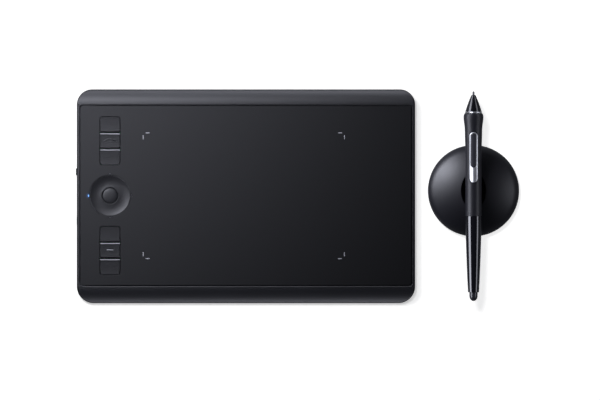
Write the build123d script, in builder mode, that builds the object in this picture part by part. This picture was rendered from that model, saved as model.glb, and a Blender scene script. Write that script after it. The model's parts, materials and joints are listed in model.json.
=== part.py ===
"""Pen drawing tablet with its pen and pen stand, as separate named pieces.

Units are millimetres. X runs along the tablet's long side, +Y points to its rear edge and +Z up.
The origin is at the middle of the whole set's footprint, on the desk. The stand is to the right
of the tablet, and the pen lies across it with its nib to the rear.
"""

import os
from math import cos, radians, sin, sqrt

from build123d import *

os.makedirs("parts", exist_ok=True)

# ---- Tablet casing ----
tablet_width = 269.0
tablet_depth = 170.0
body_thickness = 8.0
foot_proud = 0.8
rear_band = 12.2  # the bands roll off to the edges, and set the plan's corner radii
front_band = 13.3
band_drop = 4.4
edge_wall = 2.2  # upright part of the rear and front edges
undercut = 5.5
edge_round = 1.2
body_bottom = foot_proud
body_top = foot_proud + body_thickness
band_edge = body_top - band_drop

# ---- Drawing surface ----
side_rim = 2.4
rim_gap = 0.3
sheet_gap = 0.25
sheet_corner = 2.4
sheet_thickness = 0.35
sheet_recess = 0.45
skin_thickness = 1.15
recess_floor = body_top - sheet_recess
sheet_top = recess_floor + sheet_thickness
skin_bottom = recess_floor - skin_thickness
active_width = 160.0
active_depth = 100.0
active_x = -1.75
active_y = 0.4
mark_length = 3.2
mark_width = 0.8
mark_depth = 0.12
mark_offset = 3.5

# ---- Inside of the casing ----
cavity_width = 260.4
cavity_depth = 144.0
cavity_corner = 8.0
plate_thickness = 1.0
plate_width = 263.0
plate_depth = 151.0
plate_corner = 9.0
plate_gap = 0.15
plate_top = body_bottom + plate_thickness
boss_radius = 2.6
boss_xs = (-124.0, -42.0, 42.0, 124.0)
boss_y = 66.5
screw_radius = 1.0
screw_head_radius = 1.9
screw_head_height = 0.8
screw_length = 5.0
board_thickness = 0.8
board_bottom = 2.4
board_top = board_bottom + board_thickness
board_depth = 120.0

# ---- Keys and touch ring ----
controls_x = -108.1
controls_y = 0.4
group_offset = 43.6
group_width = 16.2
group_depth = 38.6
group_corner = 1.8
key_gap = 0.25
key_split = 0.4
key_bottom = 6.0
key_flange_side = 0.7
key_travel = 0.5
ring_outer = 16.1
ring_inner = 6.35
ring_gap = 0.25
ring_ledge_z = 7.6
ring_ledge_width = 1.5
ring_bottom = 6.7
button_radius = 5.95
led_radius = 17.05
led_width = 0.8
led_length = 1.5
switch_size = 5.2
switch_height = 1.5
plunger_radius = 1.6
plunger_height = 0.7

# ---- Ports on the left edge ----
port_z = 4.83
usb_width = 8.94
usb_height = 3.26
usb_depth = 7.5
usb_wall = 0.3
wall_inner = -cavity_width / 2
power_y = -19.4
slider_y = 19.4
slider_travel = 2.5
knob_proud = 0.85

# ---- Pen stand ----
stand_offset = 180.9  # from the tablet's middle
stand_y = 4.4
stand_radius = 36.3
dome_top = 24.0
dome_radius = 60.0
shoulder_radius = 11.0
dome_wall = 2.2
dome_ceiling = 17.3
dome_bottom = 1.2
groove_depth = 4.5
well_x = 10.0  # half-widths of the well's mouth
well_y = 15.8
well_floor_radius = 3.0
well_floor = 6.0
well_wall = 1.5
hem_radius = 35.0
base_radius = 33.6
base_bottom = 0.6
base_top = 3.6
pad_radius = 31.0
pad_top = 1.0
collar_radius = 31.2
collar_bore = 29.5
collar_top = 7.0
lug_angle = 32.0
lug_bottom = 5.8
lug_height = 1.0
lug_clearance = 0.4
weight_bore = 13.0
weight_top = 8.8
tray_top = 11.4
spare_nib_count = 10
spare_nib_length = 13.5

# ---- Pen, measured along its axis from the nib's point ----
pen_length = 166.7
pen_tip_y = 83.4
pen_radius = 6.44
groove_clearance = 0.3
cone_start = 2.8
cone_end = 16.1
cone_radius = 6.5
trim_end = 17.3
grip_front_radius = 6.9
flare_at = 20.5
flare_radius = 7.91
grip_end = 99.1
barrel_end = 159.8
barrel_end_radius = 4.37
core_start = 14.0
core_end = 104.0
core_radius = 5.2
core_bore = 4.3
bezel_middle = 52.45
bezel_length = 39.9
bezel_width = 6.84
rocker_middle = 46.9
rocker_length = 27.0
rocker_width = 4.3
rocker_gap = 0.2
rocker_floor = 5.3
rocker_pivot_height = 5.6
pin_radius = 0.35
nib_radius = 0.8
nib_bore = 1.15
nib_end = 22.0
nib_travel = 0.3
holder_radius = 1.15
holder_end = 26.6
eraser_radius = 3.3
eraser_travel = 0.8
eraser_seat = 156.0
eraser_stem_start = 148.0

# ---- Where the three objects stand ----
set_left = -(tablet_width / 2 + knob_proud)
set_right = stand_offset + stand_radius
tablet_x = -(set_left + set_right) / 2
stand_x = tablet_x + stand_offset
groove_radius = pen_radius + groove_clearance
pen_z = dome_top - groove_depth + groove_radius

left_edge = Plane(
    origin=(tablet_x - tablet_width / 2, 0, 0), x_dir=(0, 1, 0), z_dir=(1, 0, 0)
)
# In these two planes, local x runs along the pen from its nib.
pen_side = Plane(
    origin=(stand_x, pen_tip_y, pen_z), x_dir=(0, -1, 0), z_dir=(-1, 0, 0)
)
pen_above = Plane(
    origin=(stand_x, pen_tip_y, pen_z), x_dir=(0, -1, 0), z_dir=(0, 0, 1)
)
pen_axis = Axis((stand_x, pen_tip_y, pen_z), (0, -1, 0))
stand_section = Plane(
    origin=(stand_x, stand_y, 0), x_dir=(1, 0, 0), z_dir=(0, -1, 0)
)
stand_axis = Axis((stand_x, stand_y, 0), (0, 0, 1))


def level(z):
    """A level plane at height z, on the row's own axes."""
    return Plane.XY.offset(z)


def save(piece, name):
    """Labels a finished piece and writes it as one node."""
    piece.part.label = name
    export_step(piece.part, f"parts/{name}.step")


def block(centre_x, centre_y, width, depth, bottom, top, mode=Mode.ADD):
    """A box by its plan and its two heights, inside the builder that is open."""
    with Locations((centre_x, centre_y, (bottom + top) / 2)):
        Box(width, depth, top - bottom, mode=mode)


def plan_block(width, depth, corner, bottom, top, mode=Mode.ADD, y=0.0):
    """A box with rounded upright corners on the tablet's middle, inside the builder that is open."""
    with BuildSketch(level(bottom)) as plan:
        with Locations((tablet_x, y)):
            RectangleRounded(width, depth, corner)
    extrude(plan.sketch, amount=top - bottom, mode=mode)


# ================= Tablet =================

recess_depth = tablet_depth - rear_band - front_band - 2 * rim_gap
recess_y = (front_band - rear_band) / 2
recess_width = tablet_width - 2 * side_rim
rear_edge = tablet_depth / 2
front_edge = -rear_edge
led_angles = (180, 90, 0, -90)
group_ys = (controls_y + group_offset, controls_y - group_offset)


def led_spots():
    """The four lamp windows round the ring, the lit one first, each turned to face the middle."""
    return [
        Location(
            (
                tablet_x + controls_x + led_radius * cos(radians(a)),
                controls_y + led_radius * sin(radians(a)),
            ),
            a,
        )
        for a in led_angles
    ]


def cut_controls(bottom, top, ring_radius):
    """Cuts the two key openings, the ring's opening and the lamp windows."""
    with BuildSketch(level(bottom)) as openings:
        with Locations(*[(tablet_x + controls_x, y) for y in group_ys]):
            RectangleRounded(group_width, group_depth, group_corner)
        with Locations((tablet_x + controls_x, controls_y)):
            Circle(ring_radius)
        with Locations(*led_spots()):
            Rectangle(led_width + 0.1, led_length + 0.1)
    extrude(openings.sketch, amount=top - bottom, mode=Mode.SUBTRACT)


profile_overlap = 1.0  # the side profile runs past the plan's outline, which trims it
undercut_slope = (band_edge - edge_wall - body_bottom) / undercut
profile_low = band_edge - edge_wall + profile_overlap * undercut_slope


def band_arc(edge, band):
    """The roll-off of the front or rear band, as its start and its end past the edge."""
    side = 1 if edge > 0 else -1
    arc_radius = (band**2 + band_drop**2) / (2 * band_drop)
    drop = arc_radius - sqrt(arc_radius**2 - (band + profile_overlap) ** 2)
    return (edge - side * band, body_top), (edge + side * profile_overlap, body_top - drop)


# The top casing: a flat middle between two bands that roll off to the front and rear edges.
with BuildPart() as front_housing:
    with BuildSketch(Plane.YZ.offset(tablet_x - tablet_width / 2)):
        with BuildLine():
            rear_start, rear_end = band_arc(rear_edge, rear_band)
            front_start, front_end = band_arc(front_edge, front_band)
            Line(front_start, rear_start)
            TangentArc(rear_start, rear_end, tangent=(1, 0))
            Polyline(
                rear_end,
                (rear_edge + profile_overlap, profile_low),
                (rear_edge - undercut, body_bottom),
                (front_edge + undercut, body_bottom),
                (front_edge - profile_overlap, profile_low),
                front_end,
            )
            TangentArc(front_start, front_end, tangent=(-1, 0))
        make_face()
    extrude(amount=tablet_width)
    with BuildSketch(level(0)) as outline:
        with Locations((tablet_x, 0)):
            Rectangle(tablet_width, tablet_depth)
        fillet(outline.vertices().group_by(Axis.Y)[-1], rear_band)
        fillet(outline.vertices().group_by(Axis.Y)[0], front_band)
    extrude(amount=body_top + 1, mode=Mode.INTERSECT)
    with BuildSketch(Plane.XZ.offset(-tablet_depth / 2)) as cross_section:
        with Locations((tablet_x, (body_top + body_bottom) / 2)):
            Rectangle(tablet_width, body_thickness)
        fillet(cross_section.vertices().group_by(Axis.Y)[-1], edge_round)
        fillet(cross_section.vertices().group_by(Axis.Y)[0], edge_round)
    extrude(amount=tablet_depth, mode=Mode.INTERSECT)

    # recess for the drawing surface, the hollow for the boards, and the back plate's seat
    plan_block(
        recess_width,
        recess_depth,
        sheet_corner,
        recess_floor,
        body_top + 1,
        Mode.SUBTRACT,
        recess_y,
    )
    plan_block(
        cavity_width,
        cavity_depth,
        cavity_corner,
        body_bottom - 1,
        skin_bottom,
        Mode.SUBTRACT,
    )
    plan_block(
        plate_width + 2 * plate_gap,
        plate_depth + 2 * plate_gap,
        plate_corner,
        body_bottom - 1,
        plate_top,
        Mode.SUBTRACT,
    )
    for y in (-boss_y, boss_y):
        for x in boss_xs:
            with BuildSketch(level(plate_top)):
                with Locations((tablet_x + x, y)):
                    Circle(boss_radius)
                    Circle(screw_radius + 0.05, mode=Mode.SUBTRACT)
            extrude(amount=skin_bottom - plate_top)

    # openings for the keys, the ring with its ledge, and the lamps
    cut_controls(skin_bottom - 0.1, body_top, ring_outer - ring_ledge_width + 0.15)
    with BuildSketch(level(ring_ledge_z)):
        with Locations((tablet_x + controls_x, controls_y)):
            Circle(ring_outer + ring_gap)
    extrude(amount=body_top - ring_ledge_z, mode=Mode.SUBTRACT)

    # openings in the left edge for the socket, the power button and the slider
    with BuildSketch(left_edge.offset(-1)):
        with Locations((0, port_z)):
            SlotOverall(usb_width + 0.3, usb_height + 0.3)
        with Locations((power_y, port_z)):
            SlotOverall(7.4, 2.6)
        with Locations((slider_y - slider_travel / 2, port_z)):
            SlotOverall(5.5 + slider_travel + 0.6, 2.4)
    extrude(amount=7, mode=Mode.SUBTRACT)
save(front_housing, "front_housing")

# The thin textured sheet that is drawn on, with openings for the keys and ring.
with BuildPart() as drawing_sheet:
    plan_block(
        recess_width - 2 * sheet_gap,
        recess_depth - 2 * sheet_gap,
        sheet_corner - sheet_gap,
        recess_floor,
        sheet_top,
        y=recess_y,
    )
    cut_controls(recess_floor, sheet_top, ring_outer + ring_gap)
    mark_spots = []
    for side_x in (-1, 1):
        for side_y in (-1, 1):
            corner_x = tablet_x + active_x + side_x * active_width / 2
            corner_y = active_y + side_y * active_depth / 2
            mark_spots.append(((corner_x - side_x * mark_offset, corner_y), 0))
            mark_spots.append(((corner_x, corner_y - side_y * mark_offset), 90))
    with BuildSketch(level(sheet_top - mark_depth)):
        for spot, turn in mark_spots:
            with Locations(Location(spot, turn)):
                Rectangle(mark_length, mark_width)
    extrude(amount=mark_depth, mode=Mode.SUBTRACT)
save(drawing_sheet, "drawing_sheet")

# Eight short strokes that mark the corners of the active area.
with BuildPart() as corner_marks:
    with BuildSketch(level(sheet_top - mark_depth)):
        for spot, turn in mark_spots:
            with Locations(Location(spot, turn)):
                Rectangle(mark_length, mark_width)
    extrude(amount=mark_depth)
save(corner_marks, "corner_marks")

foot_length = 34.0
foot_width = 8.0
foot_inset = 0.4
foot_spots = [
    (tablet_x + sx * 98.0, sy * 62.0) for sx in (-1, 1) for sy in (-1, 1)
]
# The aluminium back plate, with pockets for the feet and countersinks for the screws.
with BuildPart() as back_plate:
    plan_block(plate_width, plate_depth, plate_corner, body_bottom, plate_top)
    with BuildSketch(level(body_bottom)):
        with Locations(*foot_spots):
            SlotOverall(foot_length + 0.2, foot_width + 0.2)
    extrude(amount=foot_inset, mode=Mode.SUBTRACT)
    screw_spots = [(tablet_x + x, y) for x in boss_xs for y in (-boss_y, boss_y)]
    underside = Plane(origin=(0, 0, body_bottom), x_dir=(1, 0, 0), z_dir=(0, 0, -1))
    with Locations(underside):
        with Locations(*[(x, -y) for x, y in screw_spots]):
            CounterBoreHole(
                screw_radius + 0.1, screw_head_radius + 0.1, screw_head_height
            )
save(back_plate, "back_plate")

with BuildPart() as rubber_feet:
    with BuildSketch(level(0)):
        with Locations(*foot_spots):
            SlotOverall(foot_length, foot_width)
    extrude(amount=body_bottom + foot_inset)
    fillet(rubber_feet.edges().group_by(Axis.Z)[0], 0.3)
save(rubber_feet, "rubber_feet")

# Eight flat-headed screws with a cross recess, each in a boss of the casing.
with BuildPart() as back_screws:
    head_plane = level(body_bottom)
    with BuildSketch(head_plane):
        with Locations(*screw_spots):
            Circle(screw_head_radius)
    extrude(amount=screw_head_height - 0.05)
    with BuildSketch(level(body_bottom + 0.1)):
        with Locations(*screw_spots):
            Circle(screw_radius)
    extrude(amount=screw_length)
    with BuildSketch(head_plane):
        with Locations(*screw_spots):
            Rectangle(2.2, 0.5)
            Rectangle(0.5, 2.2)
    extrude(amount=0.6, mode=Mode.SUBTRACT)
save(back_screws, "back_screws")

# The layers under the drawing surface, bonded to the casing's skin from the top down.
panel_left, panel_right = -84.0, 122.0
layer_plan = (
    (panel_left + panel_right) / 2 + tablet_x,
    0,
    panel_right - panel_left,
    board_depth,
)
layer_levels = {
    "touch_panel": (skin_bottom - 0.4, skin_bottom),
    "sensor_board": (skin_bottom - 1.4, skin_bottom - 0.4),
    "shield_plate": (skin_bottom - 1.7, skin_bottom - 1.4),
}
for layer_name, (layer_bottom, layer_top) in layer_levels.items():
    with BuildPart() as layer:
        block(*layer_plan, layer_bottom, layer_top)
    save(layer, layer_name)

board_right = -90.0
board_left = -129.5
with BuildPart() as controls_board:
    block(
        tablet_x + (board_left + board_right) / 2,
        0,
        board_right - board_left,
        board_depth,
        board_bottom,
        board_top,
    )
save(controls_board, "controls_board")

main_left, main_right = -84.0, -14.0
main_front, main_rear = -40.0, 30.0
with BuildPart() as main_board:
    block(
        tablet_x + (main_left + main_right) / 2,
        (main_front + main_rear) / 2,
        main_right - main_left,
        main_rear - main_front,
        board_bottom,
        board_top,
    )
save(main_board, "main_board")

# Processor, radio can, memory and power chip.
with BuildPart() as board_chips:
    block(tablet_x - 62, 2, 12, 12, board_top, board_top + 1.0)
    block(tablet_x - 34, 14, 14, 11, board_top, board_top + 1.6)
    block(tablet_x - 44, -14, 7, 7, board_top, board_top + 0.9)
    block(tablet_x - 68, -24, 9, 6, board_top, board_top + 1.2)
save(board_chips, "board_chips")

battery_left, battery_right = -8.0, 62.0
with BuildPart() as battery:
    block(
        tablet_x + (battery_left + battery_right) / 2,
        0,
        battery_right - battery_left,
        66.0,
        plate_top + 0.2,
        plate_top + 3.2,
    )
    fillet(battery.edges().filter_by(Axis.Y), 1.0)
save(battery, "battery")

lead_y = 8.0
with BuildPart() as battery_plug:
    block(tablet_x + main_right - 2.0, lead_y, 3.0, 6.0, board_top, board_top + 1.3)
save(battery_plug, "battery_plug")

with BuildPart() as battery_leads:
    with BuildSketch(Plane.YZ.offset(tablet_x + main_right - 0.5)):
        with Locations(*[(lead_y + i * 1.6, board_top + 0.6) for i in (-1, 0, 1)]):
            Circle(0.5)
    extrude(amount=battery_left - main_right + 0.5)
save(battery_leads, "battery_leads")

# The flat cable between the two boards arches from connector to connector.
ribbon_y = 16.0
ribbon_from, ribbon_to = board_right - 1.5, main_left + 1.5
with BuildPart() as ribbon_connectors:
    block(tablet_x + ribbon_from - 1.2, ribbon_y, 2.4, 14.0, board_top, board_top + 1.0)
    block(tablet_x + ribbon_to + 1.2, ribbon_y, 2.4, 14.0, board_top, board_top + 1.0)
save(ribbon_connectors, "ribbon_connectors")

with BuildPart() as ribbon_cable:
    with BuildSketch(Plane.XZ.offset(-(ribbon_y + 6))):
        with BuildLine():
            low = ThreePointArc(
                (tablet_x + ribbon_from, board_top + 0.5),
                (tablet_x + (ribbon_from + ribbon_to) / 2, board_top + 1.3),
                (tablet_x + ribbon_to, board_top + 0.5),
            )
            high = ThreePointArc(
                (tablet_x + ribbon_from, board_top + 0.7),
                (tablet_x + (ribbon_from + ribbon_to) / 2, board_top + 1.5),
                (tablet_x + ribbon_to, board_top + 0.7),
            )
            Line(low @ 0, high @ 0)
            Line(low @ 1, high @ 1)
        make_face()
    extrude(amount=12)
save(ribbon_cable, "ribbon_cable")

# ---- Keys ----
key_plane = Plane.YZ
key_width = group_width - 2 * key_gap
key_pitch = group_depth / 3
key_depth = key_pitch - key_split
lip_top = sheet_top + 0.3
lip_width = 0.9
key_low = sheet_top - 0.1
key_dip = 0.3
bump_width = 0.9


def key(group_y, place, mark):
    """One key of a group of three, place 0 at the rear. The two nearer keys have a raised rear lip."""
    middle = group_y + (1 - place) * key_pitch
    rear = middle + key_depth / 2
    front = middle - key_depth / 2
    lip = place > 0
    high = lip_top if lip else key_low
    shelf = rear - lip_width if lip else rear
    with BuildPart() as cap:
        with BuildSketch(key_plane.offset(tablet_x + controls_x - key_width / 2)):
            with BuildLine():
                Polyline(
                    (front, key_low),
                    (front, key_bottom),
                    (rear, key_bottom),
                    (rear, high),
                    *([(shelf, lip_top), (shelf - 0.5, key_low)] if lip else []),
                )
                ThreePointArc(
                    (shelf - 0.5 if lip else rear, key_low),
                    (middle, key_low - key_dip),
                    (front, key_low),
                )
            make_face()
        extrude(amount=key_width)
        with BuildSketch(level(key_bottom)):
            with Locations((tablet_x + controls_x, group_y)):
                RectangleRounded(
                    key_width, group_depth - 2 * key_gap, group_corner - key_gap
                )
        extrude(amount=lip_top - key_bottom + 1, mode=Mode.INTERSECT)
        block(
            tablet_x + controls_x,
            middle,
            group_width + 2 * key_flange_side,
            key_depth - 2,
            key_bottom,
            skin_bottom - 0.15,
        )
        if lip:
            lip_edges = cap.edges().filter_by(Axis.X).group_by(Axis.Z)[-1]
            fillet(lip_edges, 0.2)
        if mark == "arc":
            with BuildSketch(level(key_low - key_dip - 0.2)):
                bow = CenterArc((tablet_x + controls_x, middle - 6), 7, 55, 70, mode=Mode.PRIVATE)
                SlotArc(bow, bump_width)
            extrude(amount=0.45)
        if mark == "bar":
            with BuildSketch(level(key_low - key_dip - 0.2)):
                with Locations((tablet_x + controls_x, middle)):
                    SlotOverall(5.8, bump_width)
            extrude(amount=0.45)
    return cap


key_marks = {1: "arc", 4: "bar"}
for index in range(6):
    cap = key(group_ys[index // 3], index % 3, key_marks.get(index))
    save(cap, f"express_key_{index + 1}")

# A push switch under each key and one under the ring's button.
switch_spots = [
    (tablet_x + controls_x, group_y + (1 - place) * key_pitch)
    for group_y in group_ys
    for place in range(3)
] + [(tablet_x + controls_x, controls_y)]
with BuildPart() as key_switches:
    with BuildSketch(level(board_top)):
        with Locations(*switch_spots):
            Rectangle(switch_size, switch_size)
    extrude(amount=switch_height)
    with BuildSketch(level(board_top + switch_height)):
        with Locations(*switch_spots):
            Circle(plunger_radius)
    extrude(amount=plunger_height)
save(key_switches, "key_switches")

# ---- Touch ring and its button ----
ring_section = Plane(
    origin=(tablet_x + controls_x, controls_y, 0), x_dir=(1, 0, 0), z_dir=(0, -1, 0)
)
ring_axis = Axis((tablet_x + controls_x, controls_y, 0), (0, 0, 1))
ring_top = sheet_top - 0.08
ring_valley = ring_top - 0.85
ring_crest = ring_top - 0.45
with BuildPart() as touch_ring:
    with BuildSketch(ring_section):
        with BuildLine():
            Polyline(
                (ring_inner, ring_crest),
                (ring_inner, ring_bottom),
                (ring_outer - ring_ledge_width, ring_bottom),
                (ring_outer - ring_ledge_width, ring_ledge_z),
                (ring_outer, ring_ledge_z),
                (ring_outer, ring_top),
                (ring_outer - 0.3, ring_top),
            )
            ThreePointArc(
                (ring_outer - 0.3, ring_top),
                (ring_outer - 4.4, ring_valley),
                (ring_inner, ring_crest),
            )
        make_face()
    revolve(axis=ring_axis)
save(touch_ring, "touch_ring")

button_top = sheet_top + 0.1
button_shoulder = button_top - 0.3
button_bevel = 0.3
with BuildPart() as ring_button:
    with BuildSketch(ring_section):
        with BuildLine():
            Polyline(
                (0, button_top),
                (0, key_bottom),
                (button_radius + 1.0, key_bottom),
                (button_radius + 1.0, ring_bottom - 0.1),
                (button_radius, ring_bottom - 0.1),
                (button_radius, button_shoulder - button_bevel),
                (button_radius - button_bevel, button_shoulder),
            )
            TangentArc(
                (0, button_top), (button_radius - button_bevel, button_shoulder), tangent=(1, 0)
            )
        make_face()
    revolve(axis=ring_axis)
save(ring_button, "ring_button")

# Light guides: the left one is lit and the other three are dark.
for name, spots in (("lit_window", led_spots()[:1]), ("dark_windows", led_spots()[1:])):
    with BuildPart() as windows:
        with BuildSketch(level(board_top + 0.9)):
            with Locations(*spots):
                Rectangle(led_width, led_length)
        extrude(amount=sheet_top - board_top - 0.9)
    save(windows, name)

with BuildPart() as ring_lamps:
    with BuildSketch(level(board_top)):
        with Locations(*led_spots()):
            Rectangle(1.6, 2.0)
    extrude(amount=0.8)
save(ring_lamps, "ring_lamps")

# ---- Socket, power button and slider on the left edge ----
with BuildPart() as usb_shell:
    with BuildSketch(left_edge.offset(0.3)):
        with Locations((0, port_z)):
            SlotOverall(usb_width, usb_height)
            SlotOverall(
                usb_width - 2 * usb_wall, usb_height - 2 * usb_wall, mode=Mode.SUBTRACT
            )
    extrude(amount=usb_depth)
save(usb_shell, "usb_shell")

with BuildPart() as usb_tongue:
    with BuildSketch(left_edge.offset(0.3 + usb_depth - 1.2)):
        with Locations((0, port_z)):
            SlotOverall(usb_width - 2 * usb_wall - 0.1, usb_height - 2 * usb_wall - 0.1)
    extrude(amount=1.2)
    with BuildSketch(left_edge.offset(1.0)):
        with Locations((0, port_z)):
            Rectangle(6.7, 0.7)
    extrude(amount=usb_depth - 1.5)
save(usb_tongue, "usb_tongue")

inner_wall_offset = tablet_width / 2 + wall_inner + 0.1


def edge_control(y, length, height, proud, flange_length):
    """A cap through the left edge with a flange behind the wall."""
    with BuildPart() as control:
        with BuildSketch(left_edge.offset(-proud)):
            with Locations((y, port_z)):
                SlotOverall(length, height)
        extrude(amount=inner_wall_offset + proud)
        fillet(control.edges().group_by(Axis.X)[0], 0.25)
        with BuildSketch(left_edge.offset(inner_wall_offset)):
            with Locations((y, port_z)):
                Rectangle(flange_length, 2.8)
        extrude(amount=0.7)
    return control


save(edge_control(power_y, 7.0, 2.2, 0.15, 9.0), "power_button")
save(edge_control(slider_y, 5.5, 2.0, knob_proud, 12.0), "touch_slider")

with BuildPart() as power_switch:
    block(tablet_x + wall_inner + 3.2, power_y, 3.0, 6.0, board_top, board_top + 2.8)
save(power_switch, "power_switch")

with BuildPart() as slide_switch:
    block(
        tablet_x + wall_inner + 3.2,
        slider_y - slider_travel / 2,
        3.0,
        9.0,
        board_top,
        board_top + 2.6,
    )
save(slide_switch, "slide_switch")

# ================= Pen stand =================

dome_centre_z = dome_top - dome_radius
shoulder_x = stand_radius - shoulder_radius
shoulder_z = dome_centre_z + sqrt((dome_radius - shoulder_radius) ** 2 - shoulder_x**2)


def dome_solid(inset, top, bottom, mode=Mode.ADD):
    """The dome taken in by inset, cut off level at top and bottom."""
    crown = (0, dome_top - inset)
    span = dome_radius - inset
    lean = shoulder_x / (dome_radius - shoulder_radius)
    joint = (span * lean, dome_centre_z + span * sqrt(1 - lean**2))
    on_crown = (span * sin(radians(12)), dome_centre_z + span * cos(radians(12)))
    curl = shoulder_radius - inset
    on_shoulder = (shoulder_x + curl * cos(radians(20)), shoulder_z + curl * sin(radians(20)))
    widest = (shoulder_x + curl, shoulder_z)
    hem = (min(widest[0], hem_radius), bottom)
    with BuildSketch(stand_section) as section:
        with BuildLine():
            ThreePointArc(crown, on_crown, joint)
            ThreePointArc(joint, on_shoulder, widest)
            Polyline(widest, hem, (0, bottom), crown)
        make_face()
        if top < dome_top:
            with Locations((0, top + dome_top / 2)):
                Rectangle(4 * stand_radius, dome_top, mode=Mode.SUBTRACT)
    revolve(section.sketch, axis=stand_axis, mode=mode)


def well(wall, bottom, top, mode=Mode.ADD):
    """The tapering well between two heights, grown outwards by wall."""
    ovals = []
    for z in (bottom, top):
        rise = (z - well_floor) / (dome_top - well_floor)
        half_x = well_floor_radius + rise * (well_x - well_floor_radius)
        half_y = well_floor_radius + rise * (well_y - well_floor_radius)
        with BuildSketch(level(z)) as oval:
            with Locations((stand_x, stand_y)):
                Ellipse(half_x + wall, half_y + wall)
        ovals.append(oval.sketch)
    loft(ovals, mode=mode)


def stand_disc(radius, bottom, top, mode=Mode.ADD):
    """A disc on the stand's axis between two heights."""
    with BuildSketch(level(bottom)) as disc:
        with Locations((stand_x, stand_y)):
            Circle(radius)
    extrude(disc.sketch, amount=top - bottom, mode=mode)


def three_lugs(inner, outer, bottom, top):
    """Three ring segments, a third of a turn apart, between two heights."""
    with BuildSketch(level(bottom)) as lugs:
        for turn in (0, 120, 240):
            with BuildLine():
                start = turn - lug_angle / 2
                rim = CenterArc((stand_x, stand_y), outer, start, lug_angle)
                root = CenterArc((stand_x, stand_y), inner, start, lug_angle)
                Line(rim @ 0, root @ 0)
                Line(rim @ 1, root @ 1)
            make_face()
    extrude(lugs.sketch, amount=top - bottom)


# The dome: a hollow cap with the pen's groove across it and the well in its middle.
with BuildPart() as stand_dome:
    dome_solid(0, dome_top, dome_bottom)
    dome_solid(dome_wall, dome_ceiling, dome_bottom - 1, Mode.SUBTRACT)
    well(well_wall, well_floor - well_wall, dome_ceiling + 1)
    well(0, well_floor, dome_top + 0.5, Mode.SUBTRACT)
    with BuildSketch(Plane.XZ.offset(-stand_y)):
        with Locations((stand_x, pen_z)):
            Circle(groove_radius)
    extrude(amount=stand_radius + 1, both=True, mode=Mode.SUBTRACT)
    three_lugs(
        collar_radius + lug_clearance,
        stand_radius - dome_wall + 0.3,
        lug_bottom - lug_clearance - lug_height,
        lug_bottom - lug_clearance,
    )
save(stand_dome, "stand_dome")

# The base: a disc with a collar whose three lugs hold the dome until it is turned.
with BuildPart() as stand_base:
    stand_disc(base_radius, base_bottom, base_top)
    stand_disc(collar_radius, base_top, collar_top)
    stand_disc(collar_bore, base_top, collar_top, Mode.SUBTRACT)
    stand_disc(pad_radius + 0.2, base_bottom, pad_top, Mode.SUBTRACT)
    three_lugs(collar_radius - 0.3, collar_radius + 2.0, lug_bottom, lug_bottom + lug_height)
save(stand_base, "stand_base")

with BuildPart() as stand_foot_pad:
    stand_disc(pad_radius, 0, pad_top)
    chamfer(stand_foot_pad.edges().group_by(Axis.Z)[0], 0.25)
save(stand_foot_pad, "stand_foot_pad")

# A steel ring in the base gives the stand its weight.
with BuildPart() as stand_weight:
    stand_disc(collar_bore - 0.3, base_top, weight_top)
    stand_disc(weight_bore, base_top, weight_top, Mode.SUBTRACT)
save(stand_weight, "stand_weight")

# The tray over the weight has a radial slot for each spare nib.
nib_ring_radius = (weight_bore + collar_bore) / 2
with BuildPart() as nib_tray:
    stand_disc(collar_bore - 0.3, weight_top, tray_top)
    stand_disc(weight_bore, weight_top, tray_top, Mode.SUBTRACT)
    with BuildSketch(level(tray_top - 1.7)):
        with Locations((stand_x, stand_y)):
            with PolarLocations(nib_ring_radius, spare_nib_count):
                Rectangle(spare_nib_length + 0.5, 2 * nib_radius + 0.3)
    extrude(amount=1.7, mode=Mode.SUBTRACT)
save(nib_tray, "nib_tray")

with BuildPart() as spare_nibs:
    with Locations((stand_x, stand_y, tray_top - 1.7 + nib_radius)):
        with PolarLocations(nib_ring_radius, spare_nib_count):
            Cylinder(nib_radius, spare_nib_length, rotation=(0, 90, 0))
save(spare_nibs, "spare_nibs")

# ================= Pen =================


def pen_turned(*outline):
    """A piece turned on the pen's axis from straight runs, given as (along, out)."""
    with BuildSketch(pen_side) as section:
        with BuildLine():
            Polyline(*outline, close=True)
        make_face()
    revolve(section.sketch, axis=pen_axis)


def pen_tube(start, end, outer, inner=0.0):
    """A round tube or rod on the pen's axis."""
    pen_turned((start, inner), (start, outer), (end, outer), (end, inner))


def pen_capsule(middle, length, width, low, high, mode=Mode.ADD):
    """A capsule seen from above, between two heights over the pen's axis."""
    with BuildSketch(pen_above.offset(low)) as capsule:
        with Locations((middle, 0)):
            SlotOverall(length, width)
    extrude(capsule.sketch, amount=high - low, mode=mode)


def pen_block(middle, length, width, low, high):
    """A box on the pen's middle, between two heights over its axis."""
    with BuildSketch(pen_above.offset(low)) as plan:
        with Locations((middle, 0)):
            Rectangle(length, width)
    extrude(plan.sketch, amount=high - low)


def grip_shape(proud, mode=Mode.ADD):
    """The grip's turned shape round the core: a collar that flares near the nib, then a waist."""
    with BuildSketch(pen_side) as section:
        with BuildLine():
            swell = Spline(
                (trim_end, grip_front_radius + proud),
                (flare_at, flare_radius + proud),
                (27.0, 7.22 + proud),
                (35.0, 6.84 + proud),
                (46.6, 6.52 + proud),
                (62.5, pen_radius + proud),
                tangents=((1, 1), (1, 0)),
            )
            Polyline(
                swell @ 1,
                (grip_end, pen_radius + proud),
                (grip_end, core_radius),
                (trim_end, core_radius),
                swell @ 0,
            )
        make_face()
    revolve(section.sketch, axis=pen_axis, mode=mode)


def pivot_pin(radius, length, mode=Mode.ADD):
    """The side switch's pivot, across the pen."""
    with Locations((stand_x, pen_tip_y - rocker_middle, pen_z + rocker_pivot_height)):
        Cylinder(radius, length, rotation=(0, 90, 0), mode=mode)


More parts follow.
